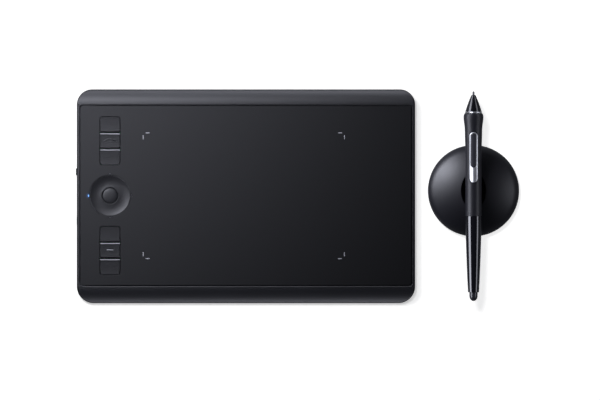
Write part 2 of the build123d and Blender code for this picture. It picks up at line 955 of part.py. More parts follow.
with BuildPart() as pen_nose_cone:
    with BuildSketch(pen_side):
        with BuildLine():
            ThreePointArc((cone_start, 1.5), (9.4, 4.35), (cone_end, cone_radius))
            Polyline(
                (cone_end, cone_radius),
                (cone_end, core_radius),
                (core_start, core_radius),
                (core_start, 3.9),
                (6.0, nib_bore),
                (cone_start, nib_bore),
                (cone_start, 1.5),
            )
        make_face()
    revolve(axis=pen_axis)
save(pen_nose_cone, "pen_nose_cone")

with BuildPart() as pen_trim_ring:
    pen_tube(cone_end, trim_end, 6.75, core_radius)
    rims = pen_trim_ring.edges().filter_by(GeomType.CIRCLE)
    fillet(rims.group_by(SortBy.RADIUS)[-1], 0.2)
save(pen_trim_ring, "pen_trim_ring")

with BuildPart() as pen_grip:
    grip_shape(0)
    pen_capsule(bezel_middle, bezel_length + 0.1, bezel_width + 0.1, 3.0, 9.0, Mode.SUBTRACT)
save(pen_grip, "pen_grip")

# The bright frame round the side switch.
with BuildPart() as pen_bezel:
    pen_capsule(bezel_middle, bezel_length, bezel_width, 3.0, 9.0)
    grip_shape(0.12, Mode.INTERSECT)
    pen_capsule(
        rocker_middle,
        rocker_length + 2 * rocker_gap,
        rocker_width + 2 * rocker_gap,
        3.0,
        9.0,
        Mode.SUBTRACT,
    )
    pivot_pin(pin_radius + 0.1, bezel_width, Mode.SUBTRACT)
save(pen_bezel, "pen_bezel")

# The side switch rocks on its pin and presses one of two switches.
with BuildPart() as pen_side_switch:
    pen_capsule(rocker_middle, rocker_length, rocker_width, rocker_floor, 9.0)
    grip_shape(0.45, Mode.INTERSECT)
    pivot_pin(pin_radius, rocker_width + 1.2)
save(pen_side_switch, "pen_side_switch")

# The core: a tube that carries the grip, the barrel and everything inside them.
with BuildPart() as pen_core:
    pen_tube(core_start, core_end, core_radius, core_bore)
    pen_capsule(
        rocker_middle, rocker_length + 1.4, rocker_width + 0.6, 3.0, 6.0, Mode.SUBTRACT
    )
save(pen_core, "pen_core")

with BuildPart() as pen_barrel:
    with BuildSketch(pen_side):
        with BuildLine():
            taper = Spline(
                (grip_end, pen_radius),
                (126.5, 5.82),
                (150.4, 4.87),
                (barrel_end, barrel_end_radius),
                tangents=((1, 0), (1, -0.055)),
            )
            Polyline(
                taper @ 1,
                (barrel_end, eraser_radius + 0.2),
                (eraser_seat, eraser_radius + 0.2),
                (126.5, 4.6),
                (core_end, 5.05),
                (core_end, core_radius),
                (grip_end, core_radius),
                taper @ 0,
            )
        make_face()
    revolve(axis=pen_axis)
save(pen_barrel, "pen_barrel")

with BuildPart() as pen_nib:
    with BuildSketch(pen_side):
        with BuildLine():
            ThreePointArc(
                (0, 0),
                (nib_radius * (1 - cos(radians(45))), nib_radius * sin(radians(45))),
                (nib_radius, nib_radius),
            )
            Polyline((nib_radius, nib_radius), (nib_end, nib_radius), (nib_end, 0), (0, 0))
        make_face()
    revolve(axis=pen_axis)
save(pen_nib, "pen_nib")

# The holder grips the nib's end and passes its force to the pressure sensor.
with BuildPart() as pen_nib_holder:
    pen_turned(
        (17.0, nib_radius),
        (17.0, holder_radius),
        (holder_end, holder_radius),
        (holder_end, 0),
        (nib_end, 0),
        (nib_end, nib_radius),
    )
save(pen_nib_holder, "pen_nib_holder")

with BuildPart() as pen_ferrite:
    pen_tube(14.4, 26.4, 2.6, holder_radius + 0.3)
save(pen_ferrite, "pen_ferrite")

with BuildPart() as pen_coil:
    pen_tube(15.4, 25.4, 3.7, 2.6)
save(pen_coil, "pen_coil")

with BuildPart() as pen_pressure_sensor:
    pen_tube(holder_end + nib_travel + 0.2, 33.6, core_bore - 0.05)
save(pen_pressure_sensor, "pen_pressure_sensor")

switch_board_top = 1.8
with BuildPart() as pen_switch_board:
    pen_block(rocker_middle, rocker_length - 1, 6.2, switch_board_top - 0.8, switch_board_top)
save(pen_switch_board, "pen_switch_board")

with BuildPart() as pen_tact_switches:
    for side in (-1, 1):
        spot = rocker_middle + side * 8.4
        pen_block(spot, 3.4, 3.4, switch_board_top, switch_board_top + 2.0)
        with BuildSketch(pen_above.offset(switch_board_top + 2.0)):
            with Locations((spot, 0)):
                Circle(0.9)
        extrude(amount=0.9)
save(pen_tact_switches, "pen_tact_switches")

with BuildPart() as pen_board:
    pen_block((62.0 + 136.0) / 2, 136.0 - 62.0, 6.2, -0.4, 0.4)
save(pen_board, "pen_board")

with BuildPart() as pen_eraser:
    pen_tube(eraser_seat + 1, pen_length - 2.4, eraser_radius)
    with BuildSketch(pen_side):
        with BuildLine():
            ThreePointArc(
                (pen_length - 2.4, eraser_radius),
                (pen_length - 0.75, eraser_radius - 0.85),
                (pen_length, 0),
            )
            Polyline((pen_length, 0), (pen_length - 2.4, 0), (pen_length - 2.4, eraser_radius))
        make_face()
    revolve(axis=pen_axis)
    pen_tube(eraser_stem_start, eraser_seat + 1, 1.4)
save(pen_eraser, "pen_eraser")

with BuildPart() as pen_eraser_sensor:
    pen_tube(137.0, eraser_stem_start - eraser_travel - 0.3, 3.4)
save(pen_eraser_sensor, "pen_eraser_sensor")
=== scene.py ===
"""The looks of a pen drawing tablet with its pen and pen stand.

Every visible outside piece is a surface worked out on a grid, placed by the boxes of the CAD
nodes that it stands for. Sizes here are millimetres in the row's frame, and become metres when
a mesh is made.
"""

import json
from math import cos, pi, radians, sin
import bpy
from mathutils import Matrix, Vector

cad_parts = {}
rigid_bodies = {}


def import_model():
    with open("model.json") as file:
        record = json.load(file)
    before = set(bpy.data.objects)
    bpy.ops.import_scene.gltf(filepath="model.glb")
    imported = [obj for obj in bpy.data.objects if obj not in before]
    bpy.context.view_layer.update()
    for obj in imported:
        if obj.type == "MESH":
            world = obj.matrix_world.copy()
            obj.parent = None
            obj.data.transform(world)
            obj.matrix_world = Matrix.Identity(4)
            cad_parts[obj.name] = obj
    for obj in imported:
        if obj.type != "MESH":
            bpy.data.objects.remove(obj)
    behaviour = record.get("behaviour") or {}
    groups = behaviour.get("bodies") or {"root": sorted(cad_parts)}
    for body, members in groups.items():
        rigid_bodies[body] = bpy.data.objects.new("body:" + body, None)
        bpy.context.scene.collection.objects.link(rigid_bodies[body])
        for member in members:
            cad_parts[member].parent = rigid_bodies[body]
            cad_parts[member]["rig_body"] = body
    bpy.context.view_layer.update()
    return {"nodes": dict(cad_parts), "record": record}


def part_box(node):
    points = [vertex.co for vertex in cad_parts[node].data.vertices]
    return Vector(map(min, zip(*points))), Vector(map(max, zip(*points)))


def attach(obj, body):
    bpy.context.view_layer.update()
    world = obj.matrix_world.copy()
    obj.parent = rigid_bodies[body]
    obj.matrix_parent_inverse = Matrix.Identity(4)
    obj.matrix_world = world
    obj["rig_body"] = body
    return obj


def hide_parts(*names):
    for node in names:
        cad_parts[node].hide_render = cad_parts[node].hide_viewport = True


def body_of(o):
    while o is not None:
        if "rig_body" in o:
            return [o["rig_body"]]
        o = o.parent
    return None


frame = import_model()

from types import SimpleNamespace

import bmesh
import bpy
import numpy as np
from mathutils import Matrix, Vector

bl_info = {
    "name": "Drawing Tablet Looks",
    "version": (1, 0, 0),
    "blender": (4, 5, 0),
    "location": "3D View > Sidebar > Drawing Tablet",
    "description": "Fine surfaces, finishes, stage and lights for a drawing tablet, pen and stand",
    "category": "Object",
}

MM = 0.001
MERGE_DISTANCE = 3e-7


def cad_box(node):
    """A CAD node's lowest and highest corners in millimetres."""
    low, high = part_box(node)
    return np.array(low) / MM, np.array(high) / MM


def middle(node):
    """The middle of a CAD node's box in millimetres."""
    low, high = cad_box(node)
    return (low + high) / 2


# ---------------------------------------------------------------------------
# Sizes and colours that a user may change
# ---------------------------------------------------------------------------


def shade(name, description, default):
    """A colour property."""
    return bpy.props.FloatVectorProperty(
        name=name, description=description, subtype="COLOR", size=3, min=0, max=1, default=default
    )


def length(name, description, default):
    """A length property, given in millimetres and kept in metres as Blender's units expect."""
    return bpy.props.FloatProperty(
        name=name, description=description, unit="LENGTH", precision=5, min=0, default=default * MM
    )


def sizes_of(group):
    """A property group's lengths, in millimetres again."""
    return SimpleNamespace(
        **{name: round(getattr(group, name) / MM, 4) for name in type(group).__annotations__}
    )


class TabletSizes(bpy.types.PropertyGroup):
    """Sizes of the tablet's outside."""

    rear_band: length("Rear band", "Width of the roll-off at the rear edge", 12.2)
    front_band: length("Front band", "Width of the roll-off at the front edge", 13.3)
    band_drop: length("Band drop", "How far a band falls to its edge", 4.4)
    edge_wall: length("Edge wall", "Height of the upright part of the front and rear edges", 2.2)
    undercut: length("Undercut", "How far the underside slopes in", 5.5)
    side_round: length("Side rounding", "Radius of the long rounding on the side edges", 1.2)
    end_round: length("End rounding", "Radius where a band meets its edge", 0.9)
    key_dish: length("Key dish", "Depth of a key's hollow", 0.12)
    lip_height: length("Lip height", "Height of a key's rear lip over the sheet", 0.3)
    lip_width: length("Lip width", "Width of a key's rear lip", 0.8)
    ring_valley: length("Ring valley", "Depth of the touch ring's hollow", 0.7)


class StandSizes(bpy.types.PropertyGroup):
    """Sizes of the pen stand."""

    crown: length("Crown", "Height of the dome before its groove is cut", 24.0)
    groove_depth: length("Groove depth", "Depth of the pen's groove below the crown", 4.5)
    groove_radius: length("Groove radius", "Radius of the pen's groove", 6.74)
    hem_radius: length("Hem radius", "Radius of the dome's lower edge", 35.0)
    crown_radius: length("Crown radius", "Radius of the dome's upper curve", 60.0)
    shoulder_radius: length("Shoulder radius", "Radius of the dome's rim curve", 11.0)
    wall: length("Wall", "Thickness of the dome", 2.2)
    ceiling: length("Ceiling", "Height of the hollow inside the dome", 17.3)
    well_x: length("Well width", "Half-width of the well's mouth across the pen", 10.0)
    well_y: length("Well length", "Half-width of the well's mouth along the pen", 15.8)
    well_floor: length("Well floor", "Height of the well's floor", 6.0)
    well_foot: length("Well foot", "Radius of the well's floor", 3.0)
    rim_round: length("Rim rounding", "How softly the groove and the well meet the dome", 0.9)


class PenSizes(bpy.types.PropertyGroup):
    """Sizes of the pen, some of them along it from the nib's point."""

    radius: length("Pen radius", "Radius of the grip's waist", 6.44)
    flare: length("Flare radius", "Radius of the collar by the nib", 7.91)
    waist: length("Waist", "Where the grip's waist starts", 62.5)
    bezel_middle: length("Frame middle", "Where the bright frame's middle is", 52.45)
    bezel_length: length("Frame length", "Length of the bright frame", 39.9)
    bezel_width: length("Frame width", "Width of the bright frame", 6.84)
    rocker_middle: length("Switch middle", "Where the side switch's middle is", 46.9)
    rocker_length: length("Switch length", "Length of the side switch", 27.0)
    rocker_width: length("Switch width", "Width of the side switch", 4.3)
    rocker_gap: length("Switch gap", "Gap round the side switch", 0.2)
    seam: length("Switch seam", "Where a fine seam crosses the side switch", 43.2)


class SetColours(bpy.types.PropertyGroup):
    """Base colours of the finishes."""

    casing: shade("Casing", "Satin casing", (0.0030, 0.0031, 0.0044))
    sheet: shade("Sheet", "Drawing sheet", (0.0012, 0.0013, 0.0022))
    key: shade("Keys", "Express keys", (0.0020, 0.0021, 0.0031))
    marking: shade("Marks", "Corner marks", (0.21, 0.212, 0.225))
    lamp: shade("Lamp", "Lit lamp window", (0.12, 0.38, 1.0))
    dome: shade("Dome", "Pen stand", (0.0012, 0.0012, 0.0034))
    rubber: shade("Rubber", "Pen grip", (0.006, 0.006, 0.0085))
    polish: shade("Polished plastic", "Nose cone and barrel", (0.004, 0.004, 0.0055))
    silver: shade("Silver", "Pen trim", (0.70, 0.71, 0.72))
    back: shade("Back plate", "Dark anodised metal", (0.045, 0.046, 0.052))


# ---------------------------------------------------------------------------
# Surfaces on grids
# ---------------------------------------------------------------------------


def grid_faces(rows, columns, close_rows=False, close_columns=False, start=0):
    """Quads between neighbouring points of a grid, joined round where it closes."""
    index = np.arange(rows * columns).reshape(rows, columns) + start
    if close_rows:
        index = np.vstack([index, index[:1]])
    if close_columns:
        index = np.hstack([index, index[:, :1]])
    corners = (index[:-1, :-1], index[:-1, 1:], index[1:, 1:], index[1:, :-1])
    return np.stack(corners, axis=-1).reshape(-1, 4)


def cleaned(mesh, sharp):
    """The mesh with seams and poles merged, faces outward, and edges past an angle sharp."""
    work = bmesh.new()
    work.from_mesh(mesh)
    bmesh.ops.remove_doubles(work, verts=work.verts, dist=MERGE_DISTANCE)
    bmesh.ops.recalc_face_normals(work, faces=work.faces)
    work.to_mesh(mesh)
    work.free()
    return shaded(mesh, sharp)


def shaded(mesh, sharp):
    """The mesh shaded smooth, apart from edges that turn by more than an angle in degrees."""
    mesh.shade_smooth()
    mesh.set_sharp_from_angle(angle=radians(sharp))
    return mesh


def make_mesh(name, points, faces, sharp=35):
    """A mesh from points in millimetres."""
    mesh = bpy.data.meshes.new(name)
    mesh.from_pydata((points.reshape(-1, 3) * MM).tolist(), [], faces.tolist())
    return cleaned(mesh, sharp)


def linked(name, data):
    """A new object in the scene."""
    item = bpy.data.objects.new(name, data)
    bpy.context.scene.collection.objects.link(item)
    return item


def finished_mesh(item):
    """A new mesh of an object with its modifiers or its curve worked out."""
    return bpy.data.meshes.new_from_object(
        item.evaluated_get(bpy.context.evaluated_depsgraph_get())
    )


def add_piece(mesh, material, body, slot, replaced=()):
    """Puts a mesh in the scene as a piece of the object, riding on a CAD body."""
    piece = linked(mesh.name, mesh)
    mesh.materials.clear()
    mesh.materials.append(material)
    if replaced:
        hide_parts(*replaced)
    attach(piece, body)
    return piece


def rings_mesh(name, rings, closed=False, sharp=35):
    """A mesh whose surface runs from ring to ring, each ring going right round."""
    rings = np.asarray(rings)
    faces = grid_faces(rings.shape[0], rings.shape[1], close_rows=closed, close_columns=True)
    return make_mesh(name, rings, faces, sharp)


def rings_piece(name, rings, how, closed=False, sharp=35):
    """A piece made from rings; how says what it stands for."""
    return add_piece(rings_mesh(name, rings, closed, sharp), *how)


def upright(centre):
    """A place that stands a turned piece on an upright axis at centre."""
    return lambda points: points[..., [1, 2, 0]] + np.array([*centre, 0])


def turned(profile, steps, place):
    """A surface of revolution: each (out, along) point of the profile goes round the axis."""
    out, along = np.asarray(profile, float).T
    turn = np.linspace(0, 2 * pi, steps, endpoint=False)
    across, deep = out[:, None] * np.cos(turn), out[:, None] * np.sin(turn)
    return place(np.stack([along[:, None] + 0 * turn, across, deep], axis=-1))


def filleted(corners, radii, steps=6, closed=False):
    """A run through corners, each rounded by an arc of its radius that touches both its sides."""
    corners = np.asarray(corners, float)
    count = len(corners)
    path = []
    for i, radius in enumerate(radii):
        here = corners[i]
        if radius == 0 or (not closed and i in (0, count - 1)):
            path.append(here)
            continue
        to_last = corners[i - 1] - here
        to_next = corners[(i + 1) % count] - here
        to_last = to_last / np.linalg.norm(to_last)
        to_next = to_next / np.linalg.norm(to_next)
        half = np.arccos(np.clip(to_last @ to_next, -1, 1)) / 2
        bisector = (to_last + to_next) / np.linalg.norm(to_last + to_next)
        centre = here + bisector * radius / np.sin(half)
        first = here + to_last * radius / np.tan(half) - centre
        last = here + to_next * radius / np.tan(half) - centre
        blend = np.linspace(0, 1, steps + 1)[:, None]
        sweep = pi - 2 * half
        arc = (np.sin((1 - blend) * sweep) * first + np.sin(blend * sweep) * last) / np.sin(sweep)
        path.extend(centre + arc)
    return np.array(path)


def rounded_ring(half_x, half_y, radii, inset=0.0, corner_steps=18, side_steps=10):
    """A rectangle with rounded corners as a ring of points from the right edge, anticlockwise.

    radii are the rear and front corner radii. An inset shrinks every corner about its own
    centre, and every ring has the same number of points, so rings join one to one.
    """
    points = []
    arcs = []
    for quarter, (side_x, side_y) in enumerate(((1, 1), (-1, 1), (-1, -1), (1, -1))):
        radius = radii[0] if side_y > 0 else radii[1]
        small = max(radius - inset, 0.02)
        turn = np.linspace(quarter, quarter + 1, corner_steps + 1) * pi / 2
        centre = np.array([side_x * (half_x - inset - small), side_y * (half_y - inset - small)])
        arcs.append(centre + small * np.stack([np.cos(turn), np.sin(turn)], axis=-1))
    for arc, following in zip(arcs, arcs[1:] + arcs[:1]):
        blend = np.linspace(0, 1, side_steps + 2)[1:-1, None]
        points.extend([arc, arc[-1] * (1 - blend) + following[0] * blend])
    return np.vstack(points)


def at_height(ring, height, centre=(0.0, 0.0)):
    """A plan ring lifted to a height, which may differ from point to point."""
    return np.column_stack([ring + np.asarray(centre), np.broadcast_to(height, len(ring))])


def capsule_ring(length, width, steps=24):
    """A stadium outline about the origin, long in x, as a ring of points."""
    return rounded_ring(length / 2, width / 2, (width / 2 - 1e-3,) * 2, 0, steps // 2, 8)


def plate_mesh(name, loops, low, high, bevel):
    """A flat plate with openings and bevelled edges, from its outline and the openings' outlines.

    The loops fill as an even-odd shape, drawn about the plate's middle plane.
    """
    curve = bpy.data.curves.new(name, "CURVE")
    curve.dimensions = "2D"
    curve.fill_mode = "BOTH"
    curve.extrude = ((high - low) / 2 - bevel) * MM
    curve.bevel_depth = bevel * MM
    curve.bevel_resolution = 1
    curve.offset = -bevel * MM
    for loop in loops:
        spline = curve.splines.new("POLY")
        spline.points.add(len(loop) - 1)
        flat = np.zeros((len(loop), 4))
        flat[:, :2] = loop * MM
        flat[:, 3] = 1
        spline.points.foreach_set("co", flat.ravel())
        spline.use_cyclic_u = True
    holder = linked(name, curve)
    mesh = finished_mesh(holder)
    bpy.data.objects.remove(holder)
    bpy.data.curves.remove(curve)
    mesh.transform(Matrix.Translation((0, 0, (low + high) / 2 * MM)))
    mesh.name = name
    return cleaned(mesh, 12)


def edge_drop(distance, radius):
    """How far a quarter-round edge has fallen at a distance in from the outline."""
    reach = np.clip(radius - distance, 0, radius)
    return radius - np.sqrt(np.maximum(radius**2 - reach**2, 0))


def smooth_min(first, second, width):
    """The lower of two heights, with the crease between them rounded over a width."""
    overlap = np.maximum(width - np.abs(first - second), 0) / width
    return np.minimum(first, second) - overlap**2 * width / 4


def smooth_step(low, high, value):
    """0 below low and 1 above high, with a smooth S between them."""
    part = np.clip((value - low) / (high - low), 0, 1)
    return part * part * (3 - 2 * part)


def cap_grid(half, radii, top, bottom, edge, counts):
    """Points and faces of a closed cap over a rounded rectangle about the origin.

    Its height is a number or a function of x and y, less a quarter-round at the edge. Its walls
    are upright and its foot is flat. The grid's rows follow the outline in at the corners, and
    crowd towards the edges. radii are the rear and front corner radii.
    """
    crowd = [np.sin(np.linspace(-pi / 2, pi / 2, count)) for count in counts]
    v = crowd[1][:, None] * half[1] + 0 * crowd[0]
    radius = np.where(v > 0, radii[0], radii[1])
    past = np.clip(np.abs(v) - (half[1] - radius), 0, radius)
    width = half[0] - radius + np.sqrt(np.maximum(radius**2 - past**2, 0))
    u = crowd[0][None, :] * width
    qx = np.abs(u) - (half[0] - radius)
    qy = np.abs(v) - (half[1] - radius)
    outside = np.hypot(np.maximum(qx, 0), np.maximum(qy, 0))
    inside = radius - outside - np.minimum(np.maximum(qx, qy), 0)
    level = top(u, v) if callable(top) else top
    height = level - edge_drop(np.maximum(inside, 0), edge)
    upper = np.stack([u, v, height], axis=-1)
    lower = np.stack([u, v, 0 * u + bottom], axis=-1)
    rows, columns = u.shape
    index = np.arange(rows * columns).reshape(rows, columns)
    loop = np.concatenate([index[0, :-1], index[:-1, -1], index[-1, :0:-1], index[:0:-1, 0]])
    after = np.roll(loop, -1)
    wall = np.stack([loop, after, after + rows * columns, loop + rows * columns], axis=-1)
    foot = grid_faces(rows, columns, start=rows * columns)
    faces = np.vstack([grid_faces(rows, columns), foot, wall])
    return np.vstack([upper.reshape(-1, 3), lower.reshape(-1, 3)]), faces


def caps_piece(name, how, places, half, radii, top, bottom, edge, counts):
    """A piece of like caps, each put where its own place function takes the points."""
    points, faces = cap_grid(half, radii, top, bottom, edge, counts)
    every = np.vstack([place(points) for place in places])
    each = np.vstack([faces + i * len(points) for i in range(len(places))])
    return add_piece(make_mesh(name, every, each, 40), *how)


def moved(x, y, z=0.0):
    """A place that shifts a cap."""
    return lambda points: points + np.array([x, y, z])


def quarter_turned(x, y):
    """A place that turns a cap a quarter in plan."""
    return lambda points: points[:, [1, 0, 2]] * [-1, 1, 1] + [x, y, 0]


def turned_over(x, y, z):
    """A place that turns a cap's top down, with its foot's zero height at z."""
    return lambda points: points * np.array([1, 1, -1]) + np.array([x, y, z])


def out_of_edge(x, y, z):
    """A place that turns a cap's top to the left, its long side along the edge."""
    return lambda points: np.stack(
        [x - points[:, 2], y + points[:, 0], z + points[:, 1]], axis=-1
    )


# ---------------------------------------------------------------------------
# Shader maths and finishes
# ---------------------------------------------------------------------------


class Value:
    """A socket's value in a shader expression. Each operator adds the Math node that it names."""

    def __init__(self, finish, socket):
        self.finish = finish
        self.socket = socket

    def maths(self, operation, *others):
        """This value and others through one Math node."""
        inputs = dict(enumerate((self,) + others))
        return self.finish.node("ShaderNodeMath", {"operation": operation}, inputs).out("Value")

    def __add__(self, other):
        return self.maths("ADD", other)

    __radd__ = __add__

    def __mul__(self, other):
        return self.maths("MULTIPLY", other)

    __rmul__ = __mul__

    def __sub__(self, other):
        return self.maths("SUBTRACT", other)

    def __rsub__(self, other):
        return (self * -1.0) + other

    def __pow__(self, other):
        return self.maths("POWER", other)

    def below(self, edge, soft):
        """1 where this is under edge, falling to 0 over a soft width past it."""
        settings = {"interpolation_type": "SMOOTHSTEP"}
        limits = {"From Min": edge, "From Max": edge + soft, "To Min": 1.0, "To Max": 0.0}
        inputs = {"Value": self, **limits}
        return self.finish.node("ShaderNodeMapRange", settings, inputs).out("Result")

    def spread(self, low, high):
        """This 0 to 1 value taken to the range from low to high."""
        return self * (high - low) + low


class Node:
    """A node in a finish, which gives its outputs by name."""

    def __init__(self, finish, node):
        self.finish = finish
        self.node = node

    def out(self, name):
        """One output, for use in an expression or as an input."""
        return Value(self.finish, self.node.outputs[name])


class Graph:
    """A node tree being made."""

    def __init__(self, tree):
        self.tree = tree

    def node(self, kind, settings=None, inputs=None):
        """Any node by its type, its settings, and the values or links of its sockets."""
        node = self.tree.nodes.new(kind)
        for name, value in (settings or {}).items():
            setattr(node, name, value)
        for key, value in (inputs or {}).items():
            if isinstance(value, Value):
                self.tree.links.new(value.socket, node.inputs[key])
            else:
                node.inputs[key].default_value = value
        return Node(self, node)

    def mix(self, amount, first, second):
        """A colour between two, by an amount from 0 to 1."""
        colour = [c if isinstance(c, Value) else (*c, 1.0) for c in (first, second)]
        inputs = {"Factor": amount, 6: colour[0], 7: colour[1]}
        return self.node("ShaderNodeMix", {"data_type": "RGBA"}, inputs).out(2)


class Finish(Graph):
    """A material being made: one Principled shader, and the nodes that feed it."""

    def __init__(self, name, **constants):
        self.material = bpy.data.materials.new(name)
        self.material.use_nodes = True
        super().__init__(self.material.node_tree)
        self.shader = self.tree.nodes["Principled BSDF"]
        for socket, value in constants.items():
            self.shader.inputs[socket.replace("_", " ")].default_value = value
        self.place = self.node("ShaderNodeTexCoord").out("Object")

    def feed(self, socket, value):
        """Links a value to one of the shader's sockets."""
        self.tree.links.new(value.socket, self.shader.inputs[socket])

    def noise(self, size, detail=3.0, rough=0.5, place=None):
        """Noise from 0 to 1 whose features are about size millimetres."""
        inputs = {"Vector": place or self.place, "Scale": 1 / (size * MM)}
        inputs.update({"Detail": detail, "Roughness": rough})
        return self.node("ShaderNodeTexNoise", None, inputs).out("Fac")

    def cells(self, size):
        """Distance from 0 to 1 inside cells of about size millimetres."""
        inputs = {"Vector": self.place, "Scale": 1 / (size * MM)}
        return self.node("ShaderNodeTexVoronoi", None, inputs).out("Distance")

    def stretched(self, x, y, z):
        """The object's coordinates with each axis scaled."""
        inputs = {"Vector": self.place, "Scale": (x, y, z)}
        return self.node("ShaderNodeMapping", None, inputs).out("Vector")

    def axis(self, name):
        """One of the object's coordinates, in metres."""
        return self.node("ShaderNodeSeparateXYZ", None, {"Vector": self.place}).out(name)

    def near(self, point):
        """Distance in metres from a point given in millimetres."""
        inputs = {0: self.place, 1: tuple(np.asarray(point) * MM)}
        return self.node("ShaderNodeVectorMath", {"operation": "DISTANCE"}, inputs).out("Value")

    def bump(self, height, depth, strength=1.0):
        """A relief from a 0 to 1 height, depth millimetres deep."""
        inputs = {"Height": height, "Distance": depth * MM, "Strength": strength}
        self.feed("Normal", self.node("ShaderNodeBump", None, inputs).out("Normal"))

    def dress(self, colour, by, low, high, rough, height, depth):
        """Feeds a colour times from low to high by a value, a roughness and a relief."""
        self.feed("Base Color", self.mix(by, lighter(colour, low), lighter(colour, high)))
        self.feed("Roughness", rough)
        self.bump(height, depth)
        return self.material


def lighter(colour, times):
    """A colour brighter or darker by a factor."""
    return tuple(min(c * times, 1.0) for c in colour)


def grained(name, colour, rough, grain=0.35, depth=0.01, spread=0.05, **constants):
    """Moulded or sprayed plastic: fine grain in relief, faint mottle in colour and gloss."""
    finish = Finish(name, **constants)
    fine = finish.noise(grain, 2.0)
    broad = finish.noise(22, 3.0)
    gloss = (fine * 0.6 + broad * 0.4).spread(rough - spread, rough + spread)
    return finish.dress(colour, broad, 0.92, 1.08, gloss, fine, depth)


def polished(name, colour, rough=0.09, **constants):
    """Glossy moulded plastic: a clean mirror-like skin with very slight waviness and dust."""
    finish = Finish(name, **constants)
    wave = finish.noise(9, 2.0)
    dust = finish.noise(0.6, 4.0, 0.7)
    gloss = (dust * 0.5 + wave * 0.5).spread(rough * 0.75, rough * 1.3)
    return finish.dress(colour, wave, 0.9, 1.1, gloss, wave, 0.004)


def brushed(name, colour, rough=0.3, along="x", line=0.12, metallic=1.0):
    """Metal with fine lines drawn along one axis."""
    finish = Finish(name, Metallic=metallic)
    scale = {axis: 0.03 if axis == along else 1.0 for axis in "xyz"}
    lines = finish.noise(line, 3.0, 0.6, finish.stretched(**scale))
    broad = finish.noise(12, 2.0)
    gloss = (lines * 0.7 + broad * 0.3).spread(rough - 0.07, rough + 0.08)
    return finish.dress(colour, lines, 0.86, 1.1, gloss, lines, 0.006)


def blasted(name, colour, rough=0.42):
    """Bead-blasted anodised metal: a sparkling fine grain."""
    finish = Finish(name, Metallic=1.0)
    beads = finish.cells(0.12)
    broad = finish.noise(30, 2.0)
    gloss = (beads * 0.5 + broad * 0.5).spread(rough - 0.08, rough + 0.08)
    return finish.dress(colour, beads, 1.25, 0.8, gloss, beads, 0.012)


def soft_rubber(name, colour, rough=0.62, sheen=0.15):
    """Soft-touch rubber: a matt velvety skin with fine pores."""
    finish = Finish(name, Sheen_Weight=sheen, Sheen_Roughness=0.5, Specular_IOR_Level=0.31)
    pores = finish.cells(0.16)
    broad = finish.noise(7, 3.0)
    gloss = (pores * 0.5 + broad * 0.5).spread(rough - 0.06, rough + 0.06)
    return finish.dress(colour, broad, 0.9, 1.15, gloss, pores, 0.008)


def sheet_film(name, colour, lamp_colour, lamp):
    """The sheet: a paper-like tooth, with a painted glow of the lamp's light on it near the lit
    window.
    """
    finish = Finish(name, Emission_Strength=0.2, Specular_IOR_Level=0.32)
    tooth = finish.cells(0.22)
    fine = finish.noise(0.15, 3.0)
    broad = finish.noise(40, 3.0)
    relief = tooth * 0.5 + fine * 0.5
    finish.dress(colour, broad, 0.94, 1.06, relief.spread(0.43, 0.51), relief, 0.004)
    # Painted light: the sheet glows in the lamp's colour, strongest at the lit window and gone a
    # few millimetres away.
    spill = finish.near(lamp).below(0.0, 0.0042) ** 3.0
    finish.feed("Emission Color", finish.mix(spill, (0.0, 0.0, 0.0), lamp_colour))
    return finish.material


def lit_lens(name, colour):
    """The lit window: a bright cool light, whitest in its middle."""
    finish = Finish(name, Emission_Strength=0.28, Roughness=0.3)
    lamp = middle("lit_window")
    top = cad_box("lit_window")[1][2]
    core = finish.near((lamp[0], lamp[1], top)).below(0.0002, 0.0009)
    finish.feed("Emission Color", finish.mix(core, colour, (0.55, 0.8, 1.0)))
    finish.feed("Base Color", finish.mix(core, lighter(colour, 0.6), colour))
    return finish.material


def circuit(name, colour, copper=(0.05, 0.2, 0.1)):
    """A solder-masked board: traces and pads showing under the mask."""
    finish = Finish(name, Coat_Weight=0.4, Coat_Roughness=0.15)
    tracks = finish.node(
        "ShaderNodeTexBrick",
        {"offset": 0.37, "squash": 0.6, "squash_frequency": 3},
        {"Vector": finish.place, "Scale": 260.0, "Mortar Size": 0.06, "Mortar Smooth": 0.2},
    ).out("Fac")
    vias = finish.cells(1.6).below(0.12, 0.03)
    mask = finish.mix(tracks, colour, copper)
    finish.feed("Base Color", finish.mix(vias, mask, (0.5, 0.42, 0.2)))
    finish.feed("Roughness", tracks.spread(0.35, 0.5))
    finish.bump(tracks, 0.03)
    return finish.material


def key_finish(name, colour, glint_colour):
    """Key plastic: satin grain, with what stands above the sheet, the rear lips and the bar mark,
    painted lighter as a highlight in place of a glint.
    """
    finish = Finish(name, Specular_IOR_Level=0.30)
    fine = finish.noise(0.2, 2.0)
    broad = finish.noise(9, 3.0)
    level = cad_box("drawing_sheet")[1][2] * MM
    # Painted highlight: parts higher than the sheet take the lighter glint colour.
    raised = 1.0 - finish.axis("Z").below(level + 0.00002, 0.00008)
    painted_glint = finish.mix(fine, lighter(glint_colour, 0.85), lighter(glint_colour, 1.15))
    plain = finish.mix(broad, lighter(colour, 0.9), lighter(colour, 1.1))
    finish.feed("Base Color", finish.mix(raised, plain, painted_glint))
    finish.feed("Roughness", (fine * 0.6 + broad * 0.4).spread(0.45, 0.54))
    finish.bump(fine, 0.003)
    return finish.material


def wound_wire(name, colour):
    """A coil of enamelled wire: fine turns round the pen's axis."""
    finish = Finish(name, Metallic=1.0)
    turns = (finish.axis("Y") * (2 * pi / (0.22 * MM))).maths("SINE") * 0.5 + 0.5
    return finish.dress(colour, turns, 0.35, 1, turns.spread(0.45, 0.22), turns, 0.06)


def nibs_plastic(name, colour):
    """Hard-wearing nib plastic, with a faint mottle in tone and gloss."""
    finish = Finish(name)
    fine = finish.noise(0.2, 3.0)
    return finish.dress(colour, fine, 0.8, 1.3, fine.spread(0.35, 0.5), fine, 0.01)


